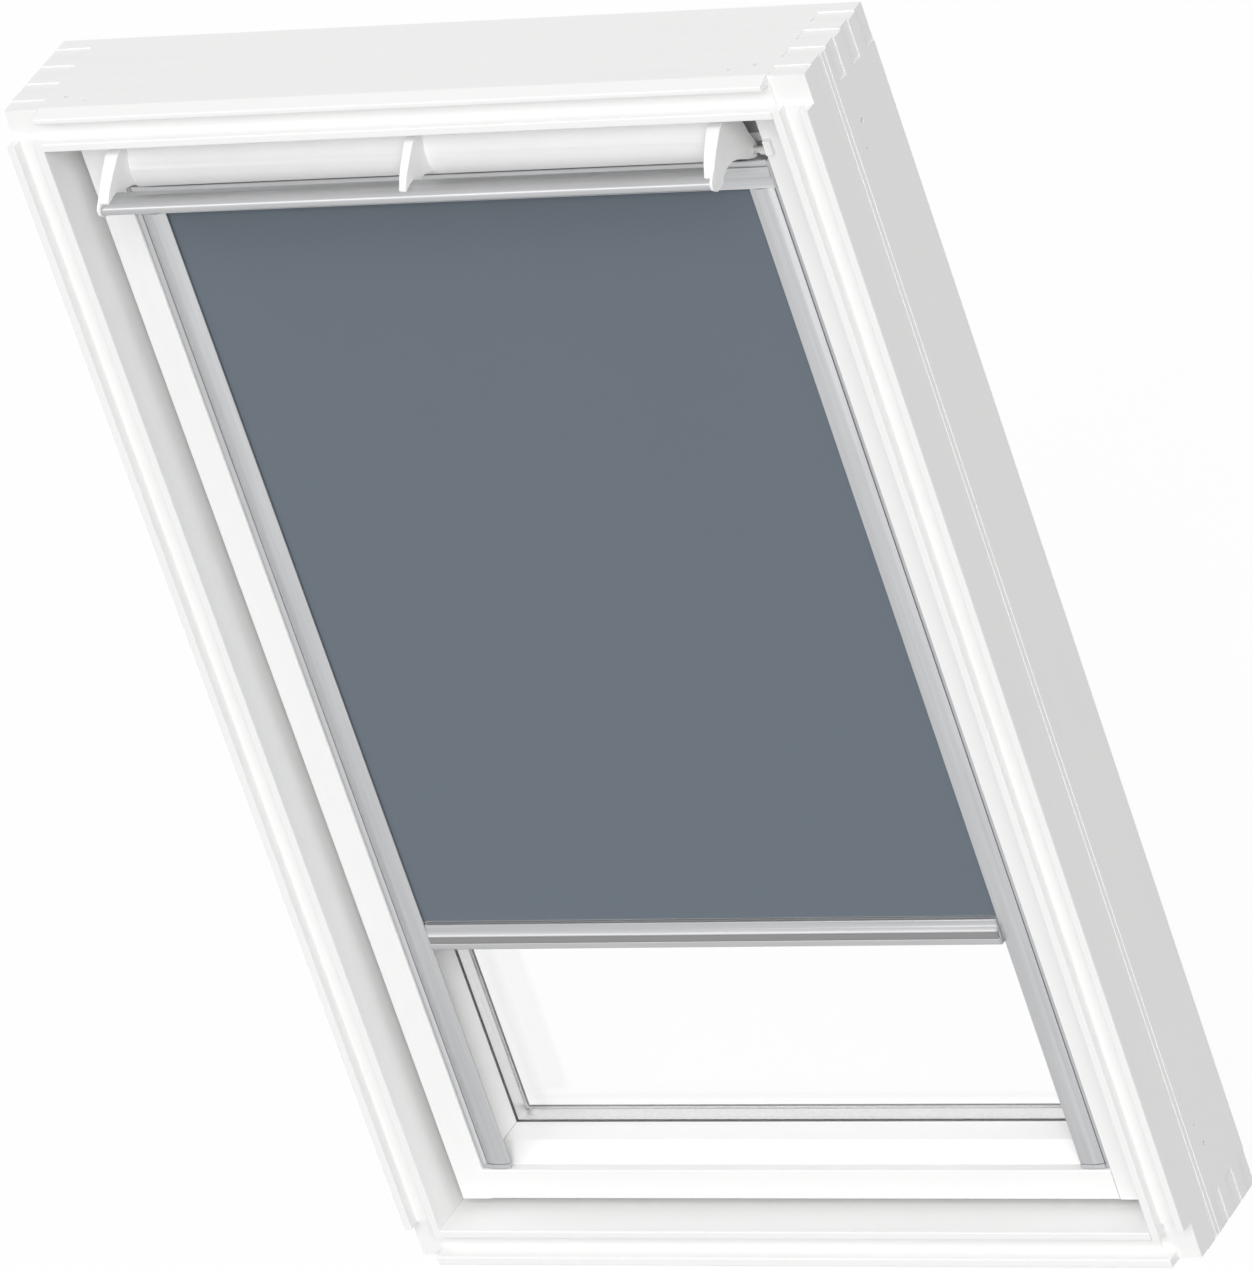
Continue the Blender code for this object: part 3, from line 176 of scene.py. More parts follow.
class Nodes:
    """Short way to lay out one material's nodes."""

    def __init__(self, name):
        self.material = bpy.data.materials.new(name)
        self.material.use_nodes = True
        self.tree = self.material.node_tree
        self.shader = self.tree.nodes["Principled BSDF"]
        self.place = self.tree.nodes.new("ShaderNodeTexCoord").outputs["Object"]

    def link(self, source, target):
        self.tree.links.new(source, target)

    def new(self, kind, values, **settings):
        """Node with the values of its inputs and its other settings."""
        node = self.tree.nodes.new(kind)
        for key, value in settings.items():
            setattr(node, key, value)
        for key, value in values.items():
            node.inputs[key].default_value = value
        return node

    def set(self, values):
        """Values of the shader's own inputs."""
        for key, value in values.items():
            self.shader.inputs[key].default_value = value

    def stretched(self, scale):
        mapping = self.new("ShaderNodeMapping", {"Scale": scale})
        self.link(self.place, mapping.inputs["Vector"])
        return mapping.outputs[0]

    def noise(self, vector, scale, detail, roughness=0.5):
        node = self.new("ShaderNodeTexNoise", {
            "Scale": scale, "Detail": detail, "Roughness": roughness})
        self.link(vector, node.inputs["Vector"])
        return node.outputs["Fac"]

    def threads(self, scale, direction):
        node = self.new("ShaderNodeTexWave", {
            "Scale": scale, "Distortion": 0.4, "Detail": 1.0, "Detail Scale": 0.3},
            bands_direction=direction, wave_profile="SIN")
        self.link(self.place, node.inputs["Vector"])
        return node.outputs["Fac"]

    def math(self, operation, first, second):
        node = self.new("ShaderNodeMath", {}, operation=operation)
        self.link(first, node.inputs[0])
        self.link(second, node.inputs[1])
        return node.outputs[0]

    def colour(self, factor, low, high, first, last):
        """Base colour: low where the factor is first, high where it is last."""
        node = self.new("ShaderNodeValToRGB", {})
        ends = node.color_ramp.elements
        ends[0].position = first
        ends[0].color = (*low, 1.0)
        ends[1].position = last
        ends[1].color = (*high, 1.0)
        self.link(factor, node.inputs["Fac"])
        self.link(node.outputs["Color"], self.shader.inputs["Base Color"])

    def roughness(self, factor, low, high):
        node = self.new("ShaderNodeMapRange", {"To Min": low, "To Max": high})
        self.link(factor, node.inputs["Value"])
        self.link(node.outputs["Result"], self.shader.inputs["Roughness"])

    def bump(self, height, strength, distance):
        node = self.new("ShaderNodeBump", {"Strength": strength, "Distance": distance})
        self.link(height, node.inputs["Height"])
        self.link(node.outputs["Normal"], self.shader.inputs["Normal"])

    def surface(self, shader):
        """Takes another shader's output as the material's surface."""
        self.link(shader, self.tree.nodes["Material Output"].inputs["Surface"])


def shade(colour, factor):
    return tuple(part * factor for part in colour)


def lacquer(name, colour, grain):
    """White lacquered timber: faint grain along the member and a soft orange peel."""
    look = Nodes(name)
    fibre = look.noise(look.stretched(grain), scale=60.0, detail=5.0, roughness=0.55)
    cloud = look.noise(look.place, scale=3.0, detail=2.0)
    peel = look.noise(look.place, scale=420.0, detail=2.0)
    look.colour(look.math("ADD", fibre, cloud), shade(colour, 0.985), colour,
                first=0.7, last=1.0)
    look.roughness(peel, low=0.34, high=0.44)
    look.set({"Specular IOR Level": 0.42})
    look.bump(look.math("ADD", fibre, peel), strength=0.06, distance=0.0004)
    return look.material


def plastic(name, colour, roughness):
    """Moulded plastic with a fine spark-eroded grain."""
    look = Nodes(name)
    grain = look.noise(look.place, scale=1400.0, detail=3.0, roughness=0.6)
    drift = look.noise(look.place, scale=25.0, detail=2.0)
    look.colour(drift, shade(colour, 0.98), colour, first=0.3, last=0.7)
    look.roughness(grain, low=roughness - 0.05, high=roughness + 0.07)
    look.bump(grain, strength=0.05, distance=0.0003)
    return look.material


def metal(name, colour, lines_shape, low, high):
    """Anodised extrusion with its draw lines along the profile.

    low and high are the ends of its roughness.
    """
    look = Nodes(name)
    lines = look.noise(look.stretched(lines_shape), scale=260.0, detail=4.0,
                       roughness=0.65)
    haze = look.noise(look.place, scale=18.0, detail=2.0)
    look.colour(lines, shade(colour, 0.93), shade(colour, 1.03), first=0.3, last=0.7)
    look.set({"Metallic": 1.0})
    look.roughness(look.math("MULTIPLY", lines, haze), low, high)
    look.bump(lines, strength=0.05, distance=0.0002)
    return look.material


def plated(name, colour):
    """Zinc-plated pressing with a faint mottled bloom."""
    look = Nodes(name)
    cells = look.new("ShaderNodeTexVoronoi", {"Scale": 260.0})
    look.link(look.place, cells.inputs["Vector"])
    bloom = look.noise(look.place, scale=70.0, detail=4.0)
    mottle = look.math("MULTIPLY", cells.outputs["Distance"], bloom)
    look.colour(mottle, shade(colour, 0.88), colour, first=0.05, last=0.5)
    look.set({"Metallic": 1.0})
    look.roughness(bloom, low=0.26, high=0.42)
    look.bump(bloom, strength=0.05, distance=0.0002)
    return look.material


def cladding(name, colour):
    """Powder-coated sheet with a fine texture."""
    look = Nodes(name)
    grit = look.noise(look.place, scale=900.0, detail=4.0, roughness=0.7)
    drift = look.noise(look.place, scale=9.0, detail=2.0)
    look.colour(drift, shade(colour, 0.9), shade(colour, 1.08), first=0.35, last=0.65)
    look.roughness(grit, low=0.40, high=0.56)
    look.bump(grit, strength=0.12, distance=0.0003)
    return look.material


def rubber(name, colour):
    """Matt rubber or foam with a coarse grain."""
    look = Nodes(name)
    grain = look.noise(look.place, scale=700.0, detail=3.0)
    look.colour(grain, colour, shade(colour, 1.5), first=0.3, last=0.8)
    look.roughness(grain, low=0.62, high=0.82)
    look.bump(grain, strength=0.15, distance=0.0003)
    return look.material


def cloth(name, colour):
    """Tight plain weave: warp and weft threads, a few slubs, and a soft sheen."""
    look = Nodes(name)
    warp = look.threads(scale=640.0, direction="X")
    weft = look.threads(scale=700.0, direction="Z")
    weave = look.math("MULTIPLY", warp, weft)
    slub = look.noise(look.stretched(SLUB_SHAPE), scale=190.0, detail=3.0)
    drift = look.noise(look.place, scale=5.0, detail=2.0)
    shades = look.math("ADD", look.math("MULTIPLY", slub, drift), weave)
    look.colour(shades, shade(colour, 0.965), shade(colour, 1.03), first=0.0, last=1.0)
    look.roughness(slub, low=0.84, high=0.96)
    look.set({"Sheen Weight": 0.08, "Sheen Roughness": 0.5, "Specular IOR Level": 0.15})
    look.bump(look.math("ADD", weave, slub), strength=0.10, distance=0.0003)
    return look.material


def glass(name):
    """Clear float glass with a barely visible film of dust; light passes through."""
    look = Nodes(name)
    look.set({"Base Color": WHITE, "Transmission Weight": 1.0, "IOR": 1.45})
    dust = look.noise(look.place, scale=30.0, detail=4.0)
    look.roughness(dust, low=0.0, high=0.012)
    path = look.new("ShaderNodeLightPath", {})
    through = look.new("ShaderNodeBsdfTransparent", {"Color": (0.99, 0.99, 0.99, 1.0)})
    look.surface(mixed_shaders(look.tree, path.outputs["Is Shadow Ray"],
                               look.shader.outputs[0], through.outputs[0]))
    return look.material


def build_materials():
    white = (0.925, 0.925, 0.92)
    moulded = (0.92, 0.92, 0.915)
    grey = (0.46, 0.47, 0.48)
    # colour of the dark strip in the bottom bar's groove: painted shade of the recess
    groove_shade_grey = (0.27, 0.27, 0.273)
    foam = (0.24, 0.24, 0.243)
    alu = (0.59, 0.595, 0.605)
    dark_alu = (0.55, 0.553, 0.562)
    pale_alu = (0.86, 0.86, 0.865)
    zinc = (0.70, 0.70, 0.68)
    coating = (0.105, 0.108, 0.112)
    black = (0.022, 0.022, 0.023)
    pale_grey = (0.52, 0.52, 0.515)
    slate = (0.146, 0.175, 0.204)
    return {
        "jamb": lacquer("lacquer_upright", white, UPRIGHT_GRAIN),
        "rail": lacquer("lacquer_cross", white, CROSS_GRAIN),
        "white": plastic("white_plastic", moulded, roughness=0.36),
        "grey": plastic("grey_plastic", grey, roughness=0.45),
        # dark strip for the bottom bar's groove: painted shade
        "groove_shade": plastic("painted_groove_shade", groove_shade_grey, roughness=0.5),
        "foam": rubber("vent_foam", foam),
        "alu_x": metal("aluminium_cross", alu, CROSS_LINES, low=0.48, high=0.60),
        "alu_z": metal("aluminium_upright", alu, UPRIGHT_LINES, low=0.48, high=0.60),
        "bar": metal("aluminium_bar", dark_alu, CROSS_LINES, low=0.32, high=0.44),
        "spacer": metal("spacer_metal", pale_alu, SPACER_LINES, low=0.40, high=0.52),
        "steel": plated("zinc_plate", zinc),
        "clad": cladding("roof_cladding", coating),
        "rubber": rubber("seal_rubber", black),
        "pale_seal": rubber("pale_seal", pale_grey),
        "cloth": cloth("blind_cloth", slate),
        "glass": glass("clear_glass"),
    }


# Mesh helpers
WELD = 1e-7             # vertices closer than this are one
CORNER_SHARE = 0.48     # most of a side that one rounded corner takes
EASE = 0.0003           # how far the ends of a metal profile are drawn in
MOULDED_EASE = 0.0004   # the same for moulded plastic
SMOOTH = 30.0           # degrees between faces that still look smooth
EDGE_SEGMENTS = 2
EDGE_ANGLE = 35.0


def finish_mesh(name, shape, material, smooth):
    bmesh.ops.remove_doubles(shape, verts=shape.verts, dist=WELD)
    bmesh.ops.recalc_face_normals(shape, faces=shape.faces)
    mesh = bpy.data.meshes.new(name)
    shape.to_mesh(mesh)
    shape.free()
    for face in mesh.polygons:
        face.use_smooth = True
    mesh.set_sharp_from_angle(angle=math.radians(smooth))
    mesh.materials.append(material)
    piece = bpy.data.objects.new(name, mesh)
    bpy.context.scene.collection.objects.link(piece)
    return piece


def loft(name, rings, material, smooth):
    """Closed skin over a row of rings, with a flat face at each end."""
    shape = bmesh.new()
    loops = [[shape.verts.new(point) for point in ring] for ring in rings]
    count = len(loops[0])
    for lower, upper in zip(loops, loops[1:]):
        for index in range(count):
            after = (index + 1) % count
            shape.faces.new((lower[index], lower[after], upper[after], upper[index]))
    shape.faces.new(loops[0][::-1])
    shape.faces.new(loops[-1])
    return finish_mesh(name, shape, material, smooth)


def moved(points, depth, height):
    """Points of an outline moved by a depth and a height, their radii kept."""
    return [(depth + a, height + b, *radius) for a, b, *radius in points]


def rounded(points, steps=5):
    """Outline whose corners with a radius are turned into arcs."""
    outline = []
    count = len(points)
    for index, point in enumerate(points):
        corner = Vector(point[:2])
        if len(point) < 3:
            outline.append(tuple(corner))
            continue
        before = Vector(points[index - 1][:2]) - corner
        after = Vector(points[(index + 1) % count][:2]) - corner
        half_angle = before.angle(after) / 2
        reach = min(point[2] / math.tan(half_angle), CORNER_SHARE * before.length,
                    CORNER_SHARE * after.length)
        radius = reach * math.tan(half_angle)
        bisector = (before.normalized() + after.normalized()).normalized()
        centre = corner + bisector * (radius / math.sin(half_angle))
        first = corner + before.normalized() * reach - centre
        last = corner + after.normalized() * reach - centre
        turn = first.angle_signed(last)
        for step in range(steps + 1):
            arm = Matrix.Rotation(-turn * step / steps, 2) @ first
            outline.append(tuple(centre + arm))
    return outline


def inset(outline, amount):
    """The outline drawn in towards its middle."""
    middle = sum((Vector(point) for point in outline), Vector((0, 0))) / len(outline)
    result = []
    for point in outline:
        away = Vector(point) - middle
        result.append(tuple(middle + away * (1 - amount / away.length)))
    return result


def stations(outline, start, end, ease):
    """Places along a straight profile and its outline there, smaller at the ends."""
    small = inset(outline, ease)
    step = math.copysign(ease, end - start)
    return ((start, small), (start + step, outline), (end - step, outline), (end, small))


def along_x(name, outline, start, end, material, ease=EASE, smooth=SMOOTH):
    """Outline in (depth, height) drawn along X."""
    rings = [[(x, at(depth), height) for depth, height in ring]
             for x, ring in stations(outline, start, end, ease)]
    return loft(name, rings, material, smooth)


def along_z(name, outline, start, end, material):
    """Outline in (x, depth) drawn along Z."""
    rings = [[(x, at(depth), height) for x, depth in ring]
             for height, ring in stations(outline, start, end, EASE)]
    return loft(name, rings, material, SMOOTH)


# CAD nodes that are kept: look, radius of their edges, names
DRESSED = (
    ("jamb", 0.0005, ("frame_left_member", "frame_right_member")),
    ("rail", 0.0005, ("frame_top_member", "frame_bottom_member")),
    ("jamb", 0.0009, ("sash_left_member", "sash_right_member")),
    ("rail", 0.0009, ("sash_top_member", "sash_bottom_member")),
    ("rubber", 0.0004, ("frame_seal",)),
    ("foam", 0.0004, ("inner_gasket",)),
    ("pale_seal", 0.0004, ("outer_gasket",)),
    ("glass", 0.0, ("glass_inner_pane", "glass_outer_pane")),
    ("spacer", 0.0003, ("glazing_spacer",)),
    ("clad", 0.0003, ("cladding_left", "cladding_right",
                      "cladding_top", "cladding_bottom")),
    ("steel", 0.0004, ("pivot_frame_plate_left", "pivot_frame_plate_right",
                       "pivot_sash_plate_left", "pivot_sash_plate_right",
                       "lock_case", "striker_plate")),
    ("steel", 0.0003, ("flap_bearing_left", "flap_bearing_right")),
    ("steel", 0.0005, ("latch_bolt",)),
    ("foam", 0.0003, ("vent_filter_left", "vent_filter_right")),
    ("alu_z", 0.0002, ("rail_foot_left", "rail_foot_right")),
    ("alu_x", 0.0, ("roller_tube",)),
    ("grey", 0.0005, ("headbox_cap_left", "headbox_cap_right",
                      "bar_glide_left", "bar_glide_right")),
    ("grey", 0.0002, ("roller_plug_left", "roller_plug_right")),
    ("white", 0.0004, ("blind_clip_left", "blind_clip_right", "barrel_bolt")),
)


def dress(node, material, width):
    """Gives a CAD node its material and rounds its edges."""
    if not node.material_slots:
        node.data.materials.append(material)
    for entry in node.material_slots:
        entry.link = "OBJECT"
        entry.material = material
    if width:
        change = node.modifiers.new("soft_edges", "BEVEL")
        change.width = width
        change.segments = EDGE_SEGMENTS
        change.limit_method = "ANGLE"
        change.angle_limit = math.radians(EDGE_ANGLE)
        change.use_clamp_overlap = True


def dress_nodes(looks):
    for look, width, names in DRESSED:
        for name in names:
            dress(nodes[name], looks[look], width)


# Cloth
CLOTH_COLUMNS = 48
CLOTH_ROWS = 60
CLOTH_SMOOTH = 60.0
RIPPLE = 0.00012
RIPPLE_RATE = 9         # radians in a metre of width
RIPPLE_START = 3
LOWER_BEHIND = 0.0004   # the lower sheet's distance behind the upper one
ROLL_INNER = 0.00645
ROLL_OUTER = 0.0083
ROLL_TURNS = 4
ROLL_STEPS = 36         # in one turn


def cloth_panel(name, behind, material):
    """One sheet of the hanging cloth, with the faint ripple a real one keeps."""
    shape = bmesh.new()
    grid = []
    for row in range(CLOTH_ROWS + 1):
        height = BAR_TOP + (ROLLER_HEIGHT - BAR_TOP) * row / CLOTH_ROWS
        swell = RIPPLE * math.sin(math.pi * row / CLOTH_ROWS)
        line = []
        for column in range(CLOTH_COLUMNS + 1):
            x = CLOTH_EDGE * (2 * column / CLOTH_COLUMNS - 1)
            ripple = swell * math.sin(RIPPLE_RATE * x + RIPPLE_START)
            line.append(shape.verts.new((x, at(FABRIC_DEPTH + behind + ripple), height)))
        grid.append(line)
    for row in range(CLOTH_ROWS):
        for column in range(CLOTH_COLUMNS):
            shape.faces.new((grid[row][column], grid[row][column + 1],
                             grid[row + 1][column + 1], grid[row + 1][column]))
    return finish_mesh(name, shape, material, CLOTH_SMOOTH)


def build_cloth(looks):
    """The hanging cloth twice: one sheet stays at the roller, one goes with the bar."""
    upper = cloth_panel("cloth_upper", 0.0, looks["cloth"])
    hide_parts("blind_fabric")
    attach(upper, "sash")
    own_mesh(upper)
    lower = cloth_panel("cloth_lower", LOWER_BEHIND, looks["cloth"])
    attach(lower, "blind_bar")
    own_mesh(lower)


def build_roll(looks):
    """Cloth wound on the tube as one spiral, with its layers showing at the ends."""
    shape = bmesh.new()
    pairs = []
    total = ROLL_TURNS * ROLL_STEPS
    for step in range(total + 1):
        share = step / total
        radius = ROLL_INNER + (ROLL_OUTER - ROLL_INNER) * share
        angle = math.pi + 2 * math.pi * ROLL_TURNS * (share - 1)
        point = (at(ROLLER_DEPTH) + radius * math.cos(angle),
                 ROLLER_HEIGHT - radius * math.sin(angle))
        pairs.append([shape.verts.new((x, *point)) for x in (-CLOTH_EDGE, CLOTH_EDGE)])
    for first, second in zip(pairs, pairs[1:]):
        shape.faces.new((first[0], first[1], second[1], second[0]))
    roll = finish_mesh("cloth_roll", shape, looks["cloth"], CLOTH_SMOOTH)
    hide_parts("fabric_roll")
    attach(roll, "roller")


# Bottom bar, as (behind its front, above its base)
BAR_LOWER = ((0.0, 0.0, 0.0011), (0.0, 0.0060, 0.0008), (0.0022, 0.0064, 0.0003),
             (0.0022, 0.0128, 0.0003), (-0.0002, 0.0131, 0.0004),
             (-0.0006, 0.0142, 0.0004))
BAR_COVE_END = (0.0028, 0.0226)
BAR_COVE_RADIUS = 0.0121
BAR_COVE_ARC = 44.0
BAR_COVE_STEPS = 12
BAR_UPPER = ((0.0028, 0.0238, 0.0007), (0.0040, 0.0243, 0.0007), (0.0058, 0.0243),
             (0.0058, 0.0236), (0.0070, 0.0236), (0.0070, 0.0259))
BAR_BACK_HEIGHT = 0.0259
BAR_BACK_RADII = (0.0010, 0.0018)
# Dark strip laid over the groove's floor, standing in for the recess's shade (painted
# shade), as (behind its front, above its base)
BAR_GROOVE_SHADE = ((0.0009, 0.0061, 0.0003), (0.0009, 0.0131, 0.0003),
             (0.0026, 0.0131), (0.0026, 0.0061))
PLUG_SEAT = 0.0014      # from the bar's end to the end of its profile
PLUG_THICKNESS = 0.0013


def bottom_bar_section():
    section = moved(BAR_LOWER, BAR_FRONT, BAR_BASE)
    depth, height = BAR_FRONT + BAR_COVE_END[0], BAR_BASE + BAR_COVE_END[1]
    for step in range(1, BAR_COVE_STEPS + 1):
        angle = math.radians(BAR_COVE_ARC * (1 - step / BAR_COVE_STEPS))
        section.append((depth - BAR_COVE_RADIUS * (1 - math.cos(angle)),
                        height - BAR_COVE_RADIUS * math.sin(angle)))
    section += moved(BAR_UPPER, BAR_FRONT, BAR_BASE)
    section += [(BAR_BACK, BAR_BASE + BAR_BACK_HEIGHT, BAR_BACK_RADII[0]),
                (BAR_BACK, BAR_BASE, BAR_BACK_RADII[1])]
    return rounded(section)


def build_bottom_bar(looks):
    """Extruded bar: coved upper band, groove and lower lip, with end plugs; a dark strip
    laid in the groove is painted shade.
    """
    section = bottom_bar_section()
    reach = BLIND_HALF - RAIL_WIDTH - BAR_GAP
    end = reach - PLUG_SEAT
    bar = along_x("bottom_bar_profile", section, -end, end, looks["bar"])
    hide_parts("bottom_bar")
    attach(bar, "blind_bar")
    # dark strip over the groove's floor: painted shade of the recess
    groove_shade_outline = rounded(moved(BAR_GROOVE_SHADE, BAR_FRONT, BAR_BASE))
    groove_shade = along_x("bottom_bar_groove_shade", groove_shade_outline, -end, end, looks["groove_shade"])
    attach(groove_shade, "blind_bar")
    for word, side in SIDES:
        plug = along_x("bottom_bar_plug_" + word, section,
                       side * (reach - PLUG_THICKNESS), side * reach, looks["grey"])
        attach(plug, "blind_bar")


# Control bar. Its place is that of its near, low edge from the flap's axis, and
# its groove is given as (behind the near edge, above the low one).
GRIP_AHEAD = 0.0740
GRIP_ABOVE = 0.00375
GRIP_WIDTH = 0.0200
GRIP_RISE = 0.0125
GRIP_NOSE = 0.0040
GRIP_TUCK = 0.0060
GRIP_BACK_SLOPE = 2.0
GRIP_FRONT_SLOPE = 25.0
GRIP_GROOVE = ((0.0090, 0.0), (0.0094, 0.0007), (0.0112, 0.0007), (0.0116, 0.0),
               (0.0190, 0.0, 0.0006), (0.0200, 0.0010, 0.0006))
GRIP_HALF = 0.29669
DOME_STEPS = 16
NOSE_STEPS = 12
TUCK_STEPS = 10

# End plate of the control bar, as (ahead of the flap's axis, above it)
PLATE = ((0.0590, 0.0255, 0.0200), (0.0690, 0.0184, 0.0070), (0.0756, 0.0124, 0.0050),
         (0.0756, 0.0066, 0.0040), (0.0700, 0.0018, 0.0050), (0.0610, 0.0020, 0.0060),
         (0.0540, 0.0074, 0.0080), (0.0448, 0.0112, 0.0040), (0.0470, 0.0220, 0.0040))
PLATE_INNER = 0.2964
PLATE_OUTER = 0.2991


def control_bar_section():
    """Grip bar: a domed top that rolls over a round nose, and a groove underneath."""
    near, low = FLAP_AXIS_DEPTH - GRIP_AHEAD, FLAP_AXIS_HEIGHT + GRIP_ABOVE
    start, crest = math.radians(GRIP_BACK_SLOPE), math.radians(GRIP_FRONT_SLOPE)
    reach = GRIP_WIDTH - GRIP_NOSE * (1 - math.sin(crest))
    dome = reach / (math.sin(crest) - math.sin(start))
    section = []
    for step in range(DOME_STEPS + 1):
        angle = start + (crest - start) * step / DOME_STEPS
        section.append((near + GRIP_WIDTH - dome * (math.sin(angle) - math.sin(start)),
                        low + GRIP_RISE - dome * (math.cos(start) - math.cos(angle))))
    shoulder = section[-1][1] - GRIP_NOSE * math.cos(crest)
    for step in range(1, NOSE_STEPS + 1):
        angle = crest + (math.pi / 2 - crest) * step / NOSE_STEPS
        section.append((near + GRIP_NOSE * (1 - math.sin(angle)),
                        shoulder + GRIP_NOSE * math.cos(angle)))
    for step in range(1, TUCK_STEPS + 1):
        angle = math.pi / 2 * step / TUCK_STEPS
        section.append((near + GRIP_TUCK * (1 - math.cos(angle)),
                        shoulder - (shoulder - low) * math.sin(angle)))
    section += moved(GRIP_GROOVE, near, low)
    return rounded(section, steps=4)


def build_control_bar(looks):
    bar = along_x("control_bar_profile", control_bar_section(), -GRIP_HALF, GRIP_HALF,
                  looks["bar"])
    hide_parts("control_bar")
    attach(bar, "flap")
    plate = rounded([(FLAP_AXIS_DEPTH - ahead, FLAP_AXIS_HEIGHT + above, radius)
                     for ahead, above, radius in PLATE], steps=6)
    for word, side in SIDES:
        cap = along_x("control_bar_end_" + word, plate, side * PLATE_INNER,
                      side * PLATE_OUTER, looks["white"], ease=MOULDED_EASE)
        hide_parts("control_bar_cap_" + word)
        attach(cap, "flap")


# Bracket arm, as (ahead of the flap's axis, above it). ARMS gives the X of its
# two sides, each where the arm meets the bar and at its crest.
ARM = ((-0.0070, 0.0, 0.0040), (-0.0049, 0.0060, 0.0040), (0.0, 0.0168, 0.0060),
       (0.0020, 0.0260, 0.0080), (0.0070, 0.0360, 0.0080), (0.0170, 0.0440, 0.0080),
       (0.0290, 0.0456, 0.0080), (0.0380, 0.0436, 0.0080), (0.0534, 0.0320, 0.0300),
       (0.0625, 0.0240, 0.0200), (0.0694, 0.0152, 0.0003), (0.0676, 0.0118),
       (0.0560, 0.0090), (0.0448, 0.0106, 0.0080), (0.0363, 0.0103, 0.0060),
       (0.0242, 0.0057, 0.0100), (0.0127, -0.0016, 0.0080), (0.0035, -0.0061, 0.0040),
       (0.0, -0.0070, 0.0030), (-0.0049, -0.0049, 0.0040))
ARMS = (("left", (-0.2992, -0.2992), (-0.2898, -0.2860)),
        ("middle", (-0.0031, -0.0046), (0.0031, 0.0046)),
        ("right", (0.2898, 0.2860), (0.2992, 0.2992)))
ARM_TAPER_FROM = 0.0150
ARM_TAPER_HEIGHT = 0.0290
ARM_EASE = 0.0005
ARM_SMOOTH = 25.0


def bracket_arm(name, first, second, material):
    """Arm from the hub over the flap to the bar, thinner towards the bar."""
    outline = rounded(ARM)
    small = inset(outline, ARM_EASE)
    rings = []
    for part, ring in enumerate((small, outline, outline, small)):
        loop = []
        for ahead, above in ring:
            share = min(1.0, max(0.0, (above - ARM_TAPER_FROM) / ARM_TAPER_HEIGHT))
            start, end = [low + (high - low) * share for low, high in (first, second)]
            step = math.copysign(ARM_EASE, end - start)
            x = (start, start + step, end - step, end)[part]
            loop.append((x, at(FLAP_AXIS_DEPTH - ahead), FLAP_AXIS_HEIGHT + above))
        rings.append(loop)
    return loft(name, rings, material, ARM_SMOOTH)


def build_brackets(looks):
    for word, first, second in ARMS:
        arm = bracket_arm("bracket_arm_" + word, first, second, looks["white"])
        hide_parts("bracket_" + word)
        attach(arm, "flap")


# Ventilation flap: the centre of its curve from its axis, and angles in degrees
FLAP_CENTRE = (0.0193, 0.0220)
FLAP_RADIUS = 0.0450
FLAP_THICKNESS = 0.0025
FLAP_TOP_ANGLE = 29.0
FLAP_ARC = 54.0
FLAP_STEPS = 24
FLAP_SMOOTH = 40.0
FLAP_FOLD = ((0.0006, -0.0010), (0.0100, -0.00125), (0.0100, 0.00125))


def build_flap(looks):
    """Curved ventilation flap whose lower edge is folded back."""
    centre = FLAP_AXIS_DEPTH + FLAP_CENTRE[0]
    height = FLAP_AXIS_HEIGHT + FLAP_CENTRE[1]
    outer = []
    inner = []
    for step in range(FLAP_STEPS + 1):
        angle = math.radians(FLAP_TOP_ANGLE - FLAP_ARC * step / FLAP_STEPS)
        for curve, thickness in ((outer, 0.0), (inner, FLAP_THICKNESS)):
            radius = FLAP_RADIUS - thickness
            curve.append((centre - radius * math.cos(angle),
                          height + radius * math.sin(angle)))
    outline = outer + moved(FLAP_FOLD, *outer[-1]) + inner[::-1]
    flap = along_x("vent_flap_shell", outline, -FLAP_HALF, FLAP_HALF, looks["white"],
                   ease=MOULDED_EASE, smooth=FLAP_SMOOTH)
    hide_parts("vent_flap")
    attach(flap, "flap")


# Rail section: widths across the rail, then depths behind its front and the
# radii of the flange's and the inner edge's corners
FLANGE_WIDTH = 0.0042
GROOVE_WIDTH = 0.0009
CROWN_WIDTH = 0.0230
CROWN_STEPS = 10
OUTER_FALL = 0.0022     # from the crown's middle to its outer edge
INNER_FALL = 0.0016
SLOT_WALL = 0.0062
SLOT_LIP = 0.0052
FLANGE_DEPTHS = (0.0010, 0.0024)
GROOVE_DEPTH = 0.0038
INNER_EDGE_DEPTHS = (0.0019, 0.0030)
SLOT_DEPTHS = (0.0042, 0.0064)
RAIL_THICKNESS = 0.0076
FLANGE_RADII = (0.0004, 0.0002)
INNER_EDGE_RADIUS = 0.0003
INNER_EDGE_LEAN = 0.0001


def rail_outline(side):
    """Rail section: low outer flange, narrow groove, crowned body and the slot."""
    outside, inside = BLIND_HALF, BLIND_HALF - RAIL_WIDTH
    flange = outside - FLANGE_WIDTH
    crown = flange - GROOVE_WIDTH
    points = [(outside, FLANGE_DEPTHS[0], FLANGE_RADII[0]),
              (flange, FLANGE_DEPTHS[1], FLANGE_RADII[1]),
              (flange, GROOVE_DEPTH), (crown, GROOVE_DEPTH)]
    for step in range(CROWN_STEPS + 1):
        share = step / CROWN_STEPS
        fall = OUTER_FALL if share < 0.5 else INNER_FALL
        points.append((crown - CROWN_WIDTH * share, fall * (2 * share - 1) ** 2))
    points += [(inside + INNER_EDGE_LEAN, INNER_EDGE_DEPTHS[0], INNER_EDGE_RADIUS),
               (inside, INNER_EDGE_DEPTHS[1]),
               (outside - SLOT_WALL, SLOT_DEPTHS[0]),
               (outside - SLOT_WALL, SLOT_DEPTHS[1]),
               (inside + SLOT_LIP, SLOT_DEPTHS[1]), (inside + SLOT_LIP, RAIL_THICKNESS),
               (outside, RAIL_THICKNESS)]
    placed = [(x, RAIL_FRONT + depth, *radius) for x, depth, *radius in points]
    return [(side * x, depth) for x, depth in rounded(placed, steps=4)]


